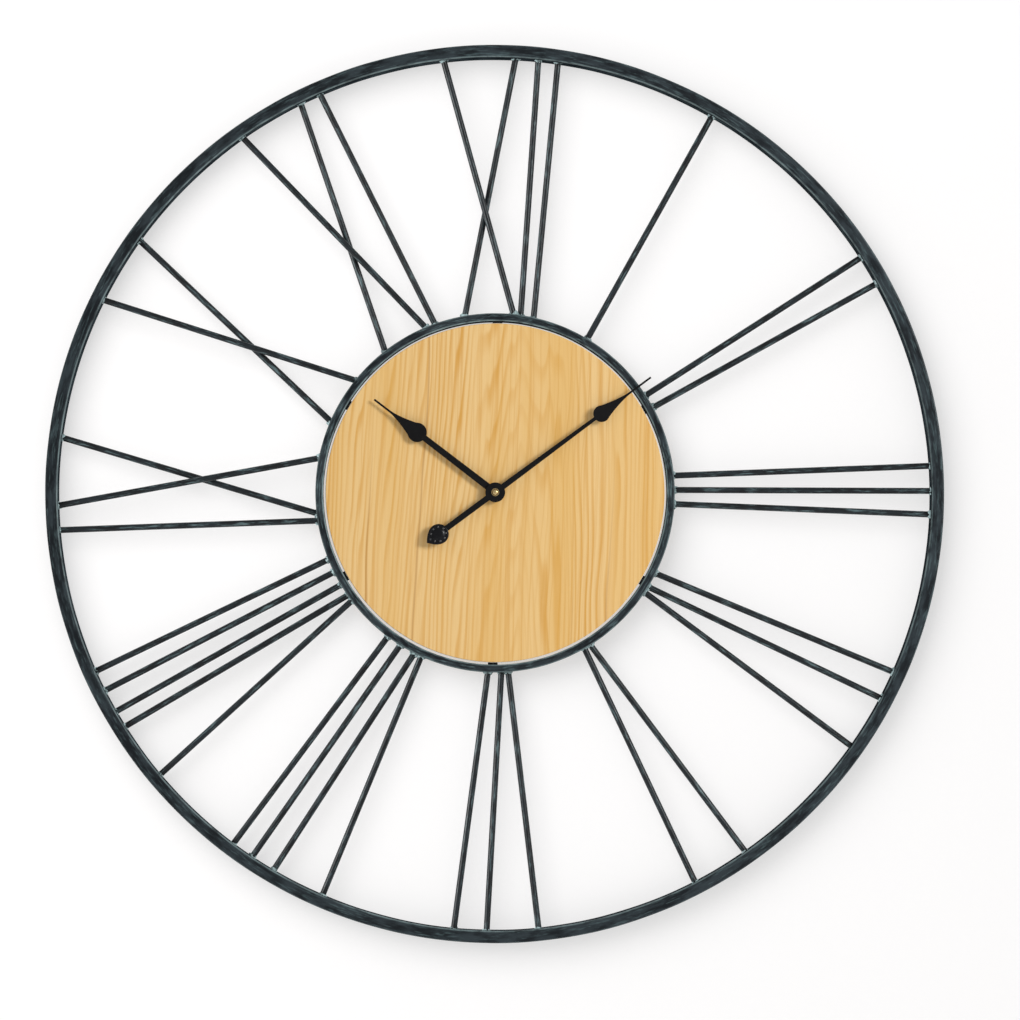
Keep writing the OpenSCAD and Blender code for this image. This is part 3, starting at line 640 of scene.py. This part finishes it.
def rounded_section(r_in, r_out, low, high, corner):
    """A rounded rectangle of (radius, depth) points, with a point just inside each flat so that
    the flats shade flat."""
    points = []
    cuts, ease = 4, corner * 0.15
    corners = ((r_out, high, 0), (r_in, high, 90), (r_in, low, 180), (r_out, low, 270))
    for radius, depth, start in corners:
        mid_r = radius - math.copysign(corner, radius - (r_in + r_out) / 2)
        mid_d = depth - math.copysign(corner, depth - (low + high) / 2)
        arc = [heading(start + 90 * k / cuts) for k in range(cuts + 1)]
        turn = [(mid_r + corner * cosine, mid_d + corner * sine) for cosine, sine in arc]
        (r, d), (cosine, sine) = turn[0], arc[0]
        points.append((r + sine * ease, d - cosine * ease))
        points += turn
        (r, d), (cosine, sine) = turn[-1], arc[-1]
        points.append((r - sine * ease, d + cosine * ease))
    return points


# %% [markdown]
# ## Hoop and ring
# The hoop and the ring are rectangular steel tubes rolled into circles. Each is one rounded
# section spun about the clock's axis, in hundreds of steps, so its outline stays round when the
# camera comes close. The closed joint where a tube's ends meet is ground flush, and so it isn't
# shown.

# %% Hoop and ring
def hand_rolled(piece, depth, scale):
    """Draws the surface in towards the axis by a slow random amount, as rolls and hammers leave it."""
    for vertex in piece.data.vertices:
        reach = math.hypot(vertex.co.x, vertex.co.z)
        drawn_in = depth * (0.5 - 0.5 * noise.noise(vertex.co * scale))
        vertex.co.x *= 1 - drawn_in / reach
        vertex.co.z *= 1 - drawn_in / reach


for name, node_name, outer, face, front, back, corner, steps, material, dents, dent_scale in (
    ("hoop", "outer_hoop", hoop_radius, hoop_face, hoop_front, wall_y,
     1.5 * MM, 720, hoop_lacquer, 0.35 * MM, 26.0),
    ("ring", "inner_ring", ring_radius, ring_face, ring_front, ring_back,
     1.2 * MM, 480, ring_lacquer, 0.25 * MM, 40.0),
):
    bar = turned(name, rounded_section(outer - face, outer, front, back, corner), steps, material)
    hand_rolled(bar, dents, dent_scale)
    settle(bar, "frame", [node_name])
    print(name, len(bar.data.polygons), "faces")

# %% [markdown]
# ## Rod numerals
# Every numeral is a set of straight rods welded between the ring and the hoop. The CAD says where
# each rod runs, so its axis is read from the CAD mesh: the middle of its two ends gives a line,
# and the line is cut where it meets the ring and the hoop.

# %% Find each rod's axis
def loose_parts(mesh):
    """The separate solids of a CAD mesh, each as a list of points."""
    bm = bmesh.new()
    bm.from_mesh(mesh)
    bmesh.ops.remove_doubles(bm, verts=bm.verts, dist=1e-6)
    seen, parts = set(), []
    for start in bm.verts:
        if start in seen:
            continue
        heap, part = [start], []
        seen.add(start)
        while heap:
            vertex = heap.pop()
            part.append(vertex.co.copy())
            for edge in vertex.link_edges:
                other = edge.other_vert(vertex)
                if other not in seen:
                    seen.add(other)
                    heap.append(other)
        parts.append(part)
    bm.free()
    return parts


def middle_of(points, directions):
    """The middle of some points, halfway between their limits in each direction."""
    total = Vector()
    for direction in directions:
        reaches = [p.dot(direction) for p in points]
        total += direction * (min(reaches) + max(reaches)) / 2
    return total


def meets_circle(start, way, radius):
    """Where a line in a plane of constant Y first leaves a circle about the Y axis."""
    a = way.x ** 2 + way.z ** 2
    b = 2 * (start.x * way.x + start.z * way.z)
    c = start.x ** 2 + start.z ** 2 - radius ** 2
    return start + way * ((-b + math.sqrt(b * b - 4 * a * c)) / (2 * a))


def rod_axis(points):
    """The two ends of a rod's axis: the one at the ring, then the one at the hoop."""
    reach = sorted(points, key=lambda p: math.hypot(p.x, p.z))
    depth = Vector((0, 1, 0))
    rough = reach[-1] - reach[0]
    rough = (rough - depth * rough.y).normalized()
    side = rough.cross(depth).normalized()
    half = (reach[0].dot(rough) + reach[-1].dot(rough)) / 2
    inner = middle_of([p for p in points if p.dot(rough) < half], (rough, side, depth))
    outer = middle_of([p for p in points if p.dot(rough) >= half], (rough, side, depth))
    way = (outer - inner).normalized()
    sink = 0.6 * MM
    return (meets_circle(inner, way, ring_radius - sink),
            meets_circle(inner, way, hoop_radius - hoop_face + sink))


rods_of = {hour: sorted((rod_axis(part) for part in loose_parts(nodes[f"numeral_{hour}"].data)),
                        key=lambda ends: tuple(ends[1])) for hour in range(1, 13)}
rod_low, rod_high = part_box("numeral_3")
rod_radius = (rod_high[1] - rod_low[1]) / 2
print("rods in each numeral", {hour: len(rods) for hour, rods in rods_of.items()})

# %% [markdown]
# ### A tree that makes rods and weld beads
# One Geometry Nodes tree makes a whole numeral. It gets a mesh that is only lines, one for each
# rod. The lines become curves, a circle is swept along them, and the place across and along each
# rod is stored for the lacquer. At both ends of every line it sets a weld bead: a small lumpy
# ball, squeezed along the rod and turned to lie along it, sized at random from a fixed seed.

# %% The rod and bead tree
def new_geometry_tree(name, inputs):
    """A tree from mesh to mesh with these inputs and a finish, and the sockets of its inputs."""
    tree = bpy.data.node_groups.new(name, "GeometryNodeTree")
    add_sockets(tree, "INPUT", (
        ("Geometry", "Geometry", None), *inputs, ("Finish", "Material", None)))
    add_sockets(tree, "OUTPUT", (("Geometry", "Geometry", None),))
    return tree, tree.nodes.new("NodeGroupInput").outputs


def coated_out(tree, geometry, finish):
    """Makes copies real, gives them their material and sends them out."""
    whole = add_node(tree, "GeometryNodeRealizeInstances", {"Geometry": geometry})
    coated = add_node(tree, "GeometryNodeSetMaterial", {
        "Geometry": whole.outputs["Geometry"], "Material": finish})
    add_node(tree, "NodeGroupOutput", {"Geometry": coated.outputs["Geometry"]})


def captured(tree, geometry, kind, value, domain="POINT"):
    """Geometry that carries a value on, and the value as it was there."""
    node = add_node(tree, "GeometryNodeCaptureAttribute", {"Geometry": geometry}, domain=domain)
    node.capture_items.new(kind, "kept")
    tree.links.new(value, node.inputs["kept"])
    return node.outputs["Geometry"], node.outputs["kept"]


def build_rod_tree():
    """Geometry Nodes: lines to lacquered rods with a weld bead at each end."""
    tree, given = new_geometry_tree("Rods with weld beads", (
        ("Rod radius", "Float", 0.003), ("Sides", "Int", 20), ("Step", "Float", 0.01),
        ("Bead radius", "Float", 0.004), ("Lumps", "Float", 0.0006), ("Seed", "Int", 1)))
    here = tree.nodes.new("GeometryNodeInputPosition").outputs[0]

    curves = add_node(tree, "GeometryNodeMeshToCurve", {"Mesh": given["Geometry"]})
    index = tree.nodes.new("GeometryNodeInputIndex").outputs[0]
    numbered, rod = captured(tree, curves.outputs["Curve"], "FLOAT", index, "CURVE")
    spaced = add_node(tree, "GeometryNodeResampleCurve", {
        "Curve": numbered, "Length": given["Step"]}, mode="LENGTH")
    length = tree.nodes.new("GeometryNodeSplineParameter").outputs["Length"]
    measured, along = captured(tree, spaced.outputs["Curve"], "FLOAT", length)
    section = add_node(tree, "GeometryNodeCurvePrimitiveCircle", {
        "Resolution": given["Sides"], "Radius": given["Rod radius"]})
    outline, across = captured(tree, section.outputs["Curve"], "VECTOR", here)
    swept = add_node(tree, "GeometryNodeCurveToMesh", {
        "Curve": measured, "Profile Curve": outline, "Fill Caps": True})
    across_parts = parts_of(tree, across)
    grain_map = vector_of(tree, across_parts[0], across_parts[1], along)

    bead = add_node(tree, "GeometryNodeMeshIcoSphere", {"Radius": 1.0, "Subdivisions": 3})
    aim = add_node(tree, "GeometryNodeInputNamedAttribute", {"Name": "aim"}, data_type="FLOAT_VECTOR")
    facing = add_node(tree, "FunctionNodeAlignRotationToVector", {
        "Vector": aim.outputs["Attribute"]}, axis="Z")
    spread = add_node(tree, "FunctionNodeRandomValue", {
        0: (0.95, 0.75, 0.70), 1: (1.25, 1.05, 1.25), "Seed": given["Seed"]},
        data_type="FLOAT_VECTOR")
    size = add_node(tree, "ShaderNodeVectorMath", {
        0: spread.outputs[0], "Scale": given["Bead radius"]}, operation="SCALE")
    placed = add_node(tree, "GeometryNodeInstanceOnPoints", {
        "Points": given["Geometry"], "Instance": bead.outputs["Mesh"],
        "Rotation": facing.outputs[0], "Scale": size.outputs[0]})
    beads = add_node(tree, "GeometryNodeRealizeInstances", {"Geometry": placed.outputs["Instances"]})
    lumps = add_node(tree, "ShaderNodeTexNoise", {"Scale": 520.0, "Detail": 2.0}, noise_dimensions="3D")
    push = times(tree, times(tree, minus(tree, lumps.outputs["Fac"], 0.5), given["Lumps"]), 2.0)
    outward = add_node(tree, "ShaderNodeVectorMath", {
        0: tree.nodes.new("GeometryNodeInputNormal").outputs[0], "Scale": push}, operation="SCALE")
    lumpy = add_node(tree, "GeometryNodeSetPosition", {
        "Geometry": beads.outputs["Geometry"], "Offset": outward.outputs[0]})

    def stored(geometry, grain, rod_number, weld):
        """Geometry with the three attributes that the lacquer reads."""
        for name, kind, value in (
            ("grain", "FLOAT_VECTOR", grain), ("rod_number", "FLOAT", rod_number),
            ("weld", "FLOAT", weld),
        ):
            geometry = add_node(tree, "GeometryNodeStoreNamedAttribute", {
                "Geometry": geometry, "Name": name, "Value": value},
                data_type=kind, domain="POINT").outputs["Geometry"]
        return geometry

    both = add_node(tree, "GeometryNodeJoinGeometry")
    tree.links.new(stored(swept.outputs["Mesh"], grain_map, rod, 0.0), both.inputs[0])
    tree.links.new(stored(lumpy.outputs["Geometry"], here, 0.0, 1.0), both.inputs[0])
    coated_out(tree, both.outputs[0], given["Finish"])
    return tree


def grown_from_lines(name, mesh, tree, values, degrees):
    """Runs a tree on a mesh of lines, and keeps what it makes as one plain mesh."""
    lines = new_piece(name + "_lines", mesh, values["Finish"])
    modifier = lines.modifiers.new("grown", "NODES")
    modifier.node_group = tree
    for item in tree.interface.items_tree:
        if item.in_out == "INPUT" and item.name in values:
            modifier[item.identifier] = values[item.name]
    bpy.context.view_layer.update()
    piece = plain_mesh_of(lines, name)
    smooth_by_angle(piece.data, degrees)
    return piece


rod_tree = build_rod_tree()
print("tree:", rod_tree.name)

# %% [markdown]
# ### Make the twelve numerals
# The lines of one numeral go into a mesh with only edges. Each of its points carries the
# direction of its rod, so that the bead there can lie the right way. After the tree has run, the
# result is kept as a plain mesh and the modifier is gone.

# %% Twelve numerals
def numeral_piece(hour, rods):
    """The rods and weld beads of one numeral as one mesh."""
    mesh = bpy.data.meshes.new(f"numeral_lines_{hour}")
    points, edges, aims = [], [], []
    for inner, outer in rods:
        edges.append((len(points), len(points) + 1))
        points += [inner, outer]
        aims += [(outer - inner).normalized()] * 2
    mesh.from_pydata(points, edges, [])
    layer = mesh.attributes.new("aim", "FLOAT_VECTOR", "POINT")
    layer.data.foreach_set("vector", [part for aim in aims for part in aim])
    return grown_from_lines(f"numeral_rods_{hour}", mesh, rod_tree, {
        "Rod radius": rod_radius, "Sides": 20, "Step": 23 * MM, "Bead radius": 3.5 * MM,
        "Lumps": 2.4 * MM, "Seed": hour, "Finish": rod_lacquer}, 50.0)


for hour, rods in rods_of.items():
    piece = numeral_piece(hour, rods)
    settle(piece, "frame", [f"numeral_{hour}"])
    print("numeral", hour, len(rods), "rods", len(piece.data.polygons), "faces")

# %% [markdown]
# ## Hands
# The hands are stamped from thin sheet and painted matt black. Stamping leaves one softly rolled
# edge, which catches a thin line of light, so the CAD blades get a small bevel.

# %% Hands
settle(softened("hour_hand", 0.16 * MM, hand_black), "hour", ["hour_hand"])
settle(softened("minute_hand", 0.16 * MM, hand_black), "minute", ["minute_hand"])
print("hands softened")

# %% [markdown]
# ### Tail weight
# The minute hand carries a small cast drop on its tail, enamelled gloss black, to balance it. Its
# outline comes from the CAD. The outline is stacked in shrinking rings that rise like a low dome,
# and a border of tiny beads follows the outline, made by Geometry Nodes.

# %% Tail weight
def outline_at(node_name, depth):
    """The outline of a flat node's face at one depth, in order round its middle."""
    found = {}
    for vertex in nodes[node_name].data.vertices:
        if abs(vertex.co.y - depth) < 1e-5:
            found[(round(vertex.co.x, 6), round(vertex.co.z, 6))] = vertex.co.copy()
    points = list(found.values())
    middle = sum(points, Vector()) / len(points)
    points.sort(key=lambda p: math.atan2(p.z - middle.z, p.x - middle.x))
    return points, middle


weight_low, weight_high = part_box("tail_weight")
rim_points, rim_middle = outline_at("tail_weight", weight_high[1])
weight_depth = weight_high[1] - weight_low[1]
print("tail weight outline", len(rim_points), "points")


def shrunk(points, middle, share, depth):
    """The outline drawn in towards its middle, at a depth."""
    return [Vector((middle.x + (p.x - middle.x) * share, depth, middle.z + (p.z - middle.z) * share))
            for p in points]


def domed_drop():
    """A low dome over the drop's outline, with a step inside its border."""
    levels = ((1.0, 0.0), (1.0, 0.38), (0.985, 0.50), (0.95, 0.58), (0.90, 0.62), (0.82, 0.62),
              (0.78, 0.56), (0.62, 0.56), (0.58, 0.62), (0.52, 0.76), (0.42, 0.88), (0.30, 0.96),
              (0.16, 0.995))
    bm = bmesh.new()
    rows = [[bm.verts.new(p) for p in shrunk(
        rim_points, rim_middle, share, weight_high[1] - rise * weight_depth)] for share, rise in levels]
    count = len(rim_points)
    for lower, upper in zip(rows, rows[1:]):
        for k in range(count):
            m = (k + 1) % count
            bm.faces.new((lower[k], lower[m], upper[m], upper[k]))
    peak = bm.verts.new((rim_middle.x, weight_low[1], rim_middle.z))
    for k in range(count):
        bm.faces.new((rows[-1][k], rows[-1][(k + 1) % count], peak))
    bm.faces.new(rows[0])
    bmesh.ops.recalc_face_normals(bm, faces=bm.faces)
    return new_piece("tail_weight_drop", shaded_mesh(bm, "drop", 45.0), weight_black)


settle(domed_drop(), "minute", ["tail_weight"])

# %% [markdown]
# ### A tree that sets beads along a line
# This tree can follow any closed line: it spaces points evenly along it and puts a small
# half-sunk ball on each one. Here it sets the border of the drop.

# %% The bead border tree
def build_border_tree():
    """Geometry Nodes: evenly spaced copies of a ball along a line."""
    tree, given = new_geometry_tree("Balls along a line", (
        ("Count", "Int", 12), ("Size", "Vector", (0.001, 0.001, 0.001))))
    curve = add_node(tree, "GeometryNodeMeshToCurve", {"Mesh": given["Geometry"]})
    spots = add_node(tree, "GeometryNodeCurveToPoints", {
        "Curve": curve.outputs["Curve"], "Count": given["Count"]}, mode="COUNT")
    ball = add_node(tree, "GeometryNodeMeshUVSphere", {"Segments": 10, "Rings": 7, "Radius": 1.0})
    placed = add_node(tree, "GeometryNodeInstanceOnPoints", {
        "Points": spots.outputs["Points"], "Instance": ball.outputs["Mesh"],
        "Scale": given["Size"]})
    coated_out(tree, placed.outputs["Instances"], given["Finish"])
    return tree


border_share, border_rise, border_count = 0.70, 0.62, 9
bead_line = shrunk(
    rim_points, rim_middle, border_share, weight_high[1] - border_rise * weight_depth)
line_mesh = bpy.data.meshes.new("border line")
line_mesh.from_pydata(bead_line, [(k, (k + 1) % len(bead_line)) for k in range(len(bead_line))], [])
border = grown_from_lines("tail_weight_beads", line_mesh, build_border_tree(), {
    "Count": border_count, "Size": (1.15 * MM, 0.85 * MM, 1.15 * MM), "Finish": bead_black_painted_sheen}, 60.0)
settle(border, "minute")
print("border beads", len(border.data.polygons), "faces")

# %% [markdown]
# ## Hub hardware
# The nut that holds the hands is turned from brass with a rounded nose. It is spun from a short
# profile that starts and ends on the axis.

# %% Hand nut
nut_low, nut_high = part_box("hand_nut")
nut_radius = nut_high[0]
nut_rise = nut_high[1] - nut_low[1]
brow_radius = nut_radius * 0.86
nose = [(brow_radius * cosine, nut_low[1] + nut_rise * 0.42 * (1 - sine))
        for cosine, sine in map(heading, range(0, 90, 10))]
nut_profile = [(0.0, nut_high[1]), (nut_radius - 0.2 * MM, nut_high[1]),
               (nut_radius, nut_high[1] - 0.2 * MM), (nut_radius, nut_low[1] + nut_rise * 0.7),
               *nose, (0.0, nut_low[1])]
settle(turned("hand_nut_turned", nut_profile, 64, brass), "minute", ["hand_nut"])
print("hand nut radius", round(nut_radius / MM, 2), "mm")

# %% [markdown]
# ## The back of the clock
# The movement is a black plastic box with an open bay for one AA cell and a setting knob. The box,
# the lid, the hanger and the tabs get broken edges.

# %% Movement, hanger and tabs
for node_name, width, material, slot in (
    ("movement_case", 0.35 * MM, case_black, "case"), ("movement_lid", 0.25 * MM, case_black, "case"),
    ("hanger_plate", 0.25 * MM, tab_black, "hanger"), ("board_tabs", 0.2 * MM, tab_black, "tabs"),
):
    settle(softened(node_name, width, material), "frame", [node_name])
print("back hardware softened")

# %% [markdown]
# ### Battery
# One AA cell lies in the bay. It is turned from a profile: a rolled rim at the flat end, a sleeve,
# a shoulder and a positive button.

# %% Battery
cell_radius = (battery_high[2] - battery_low[2]) / 2
cell_centre = ((battery_low[1] + battery_high[1]) / 2, (battery_low[2] + battery_high[2]) / 2)
cell_start, button_end = battery_low[0], battery_high[0]
button_radius, button_rise = 2.7 * MM, 1.4 * MM
can_end = button_end - button_rise
cell_profile = [
    (0.0, cell_start), (4.4 * MM, cell_start), (4.7 * MM, cell_start + 0.3 * MM),
    (5.6 * MM, cell_start + 0.35 * MM), (6.2 * MM, cell_start + 0.05 * MM),
    (cell_radius - 0.3 * MM, cell_start + 0.05 * MM), (cell_radius, cell_start + 0.4 * MM),
    (cell_radius, cell_start + 0.9 * MM), (cell_radius, can_end - 0.9 * MM),
    (cell_radius, can_end - 0.5 * MM), (cell_radius - 0.5 * MM, can_end - 0.05 * MM),
    (cell_radius - 1.5 * MM, can_end - 0.05 * MM), (cell_radius - 1.9 * MM, can_end - 0.5 * MM),
    (button_radius + 0.5 * MM, can_end - 0.5 * MM), (button_radius, can_end - 0.2 * MM),
    (button_radius, button_end - 0.3 * MM), (button_radius - 0.3 * MM, button_end),
    (0.0, button_end),
]
settle(turned("battery_cell", cell_profile, 64, sleeve, cell_centre, "X"), "battery", ["battery"])
print("battery radius", round(cell_radius / MM, 2), "mm")

# %% [markdown]
# ## Room: wall and floor
# The clock hangs on a plain white wall over a pale floor. The wall's back is clear, so the back
# of the clock can be seen too.

# %% Wall and floor
def room_plane(name, corners, material):
    """One flat face of the room."""
    mesh = bpy.data.meshes.new(name)
    mesh.from_pydata(corners, [], [(0, 1, 2, 3)])
    plane = new_piece(name, mesh, material)
    plane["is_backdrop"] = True
    return plane


def room_material(name, colour, glow, see_through_back):
    """Matt paint with a faint roller texture, clear from behind where asked."""
    made, tree, shader = new_material(
        name, Roughness=0.9, Specular_IOR_Level=0.1, Emission_Color=(1, 1, 1, 1),
        Emission_Strength=glow)
    roller = between(tree, noise_at(tree, object_place(tree), 260), 0.3, 0.7, 0.0, 0.04)
    fill(tree, shader, {
        "Base Color": blend_colours(tree, roller, (*colour, 1), (0.40, 0.40, 0.40, 1))})
    if see_through_back:
        clear = tree.nodes.new("ShaderNodeBsdfTransparent")
        back = tree.nodes.new("ShaderNodeNewGeometry").outputs["Backfacing"]
        mixed = add_node(tree, "ShaderNodeMixShader", {
            0: back, 1: shader.outputs[0], 2: clear.outputs[0]})
        fill(tree, tree.nodes["Material Output"], {"Surface": mixed.outputs[0]})
    return made


room_half, floor_z, wall_top, wall_gap = 6.0, -1.5, 3.0, 0.3 * MM
wall_paint = room_material("lit white wall", (0.50, 0.49, 0.49), 0.525, True)
floor_paint = room_material("pale floor", (0.60, 0.60, 0.59), 0.2, False)
wall_face = wall_y + wall_gap
wall = room_plane("wall", [
    (-room_half, wall_face, floor_z), (room_half, wall_face, floor_z),
    (room_half, wall_face, wall_top), (-room_half, wall_face, wall_top)], wall_paint)
floor = room_plane("floor", [
    (-room_half, -room_half * 2, floor_z), (room_half, -room_half * 2, floor_z),
    (room_half, room_half, floor_z), (-room_half, room_half, floor_z)], floor_paint)
print("wall at", round(wall_face, 4), "floor at", floor_z)

# %% [markdown]
# ## Light
# A studio lights such a picture in parts, and so does this scene, because each lamp names what
# it lights. A large soft lamp high on the left lights only the wall and the floor, and so the
# clock's shadow falls down and to the right. A smaller lamp on the right lights only the clock,
# so that the hands' shadows fall to the left. A low lamp on the left lights only the rods, which
# draws a pale line along the upright ones. The white world fills the rest.

# %% Light
def soft_lamp(name, place, size, power, lit):
    """A square lamp that looks at the middle of the clock and lights only some objects."""
    light = bpy.data.lights.new(name, "AREA")
    light.shape, light.size, light.energy = "SQUARE", size, power
    lamp = in_scene(name, light)
    lamp.location = place
    lamp.rotation_euler = (-Vector(place)).to_track_quat("-Z", "Y").to_euler()
    group = bpy.data.collections.new("lit by " + name)
    for obj in lit:
        group.objects.link(obj)
    lamp.light_linking.receiver_collection = group


all_rods = [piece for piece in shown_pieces() if piece.name.startswith("numeral_rods")]
soft_lamp("wall lamp", (-1.35, -2.3, 1.35), 2.9, 72.0, [wall, floor])
soft_lamp("clock lamp", (2.6, -2.8, 0.9), 1.1, 89.0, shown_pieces())
soft_lamp("side lamp", (-2.6, -1.5, 0.2), 1.2, 88.0, all_rods)
world = bpy.data.worlds.new("white room")
bpy.context.scene.world = world
world.use_nodes = True
sky = world.node_tree
soft_light, bright_backdrop = sky.nodes["Background"], sky.nodes.new("ShaderNodeBackground")
for background, strength in ((soft_light, 0.46), (bright_backdrop, 0.9)):
    fill(sky, background, {"Color": (1, 1, 1, 1), "Strength": strength})
seen = sky.nodes.new("ShaderNodeLightPath").outputs["Is Camera Ray"]
mixed_sky = add_node(sky, "ShaderNodeMixShader", {
    0: seen, 1: soft_light.outputs[0], 2: bright_backdrop.outputs[0]})
fill(sky, sky.nodes["World Output"], {"Surface": mixed_sky.outputs[0]})
bpy.context.scene.view_settings.view_transform = "Standard"
bpy.context.scene.view_settings.look = "None"
print("room ready")

# %% [markdown]
# ## Camera
# The camera stands four and a half metres away with a long lens, about one degree to the left of
# the clock's axis and two degrees below it. It looks at a point just right of and below the
# middle, which puts the clock slightly up and left in the frame.

# %% Camera
camera_distance = 4.5
camera_left, camera_up = math.radians(0.8), math.radians(-2.0)
margin, aim_right, aim_down = 1.1334, 0.0145, 0.0171
field_width = margin * 2 * hoop_radius
aim = Vector((aim_right * field_width, hoop_front, -aim_down * field_width))
back = Vector((-math.sin(camera_left) * math.cos(camera_up),
               -math.cos(camera_left) * math.cos(camera_up), math.sin(camera_up)))
camera_data = bpy.data.cameras.new("camera")
camera_data.sensor_width = 36.0
camera_data.lens = camera_data.sensor_width * camera_distance / field_width
camera_data.clip_start, camera_data.clip_end = 0.1, 50.0
camera = in_scene("camera", camera_data)
camera.location = aim + back * camera_distance
camera.rotation_euler = (-back).to_track_quat("-Z", "Y").to_euler()
bpy.context.scene.camera = camera
print("camera at", [round(v, 3) for v in camera.location], "lens", round(camera_data.lens, 1))

# %% Finish
bpy.context.view_layer.update()
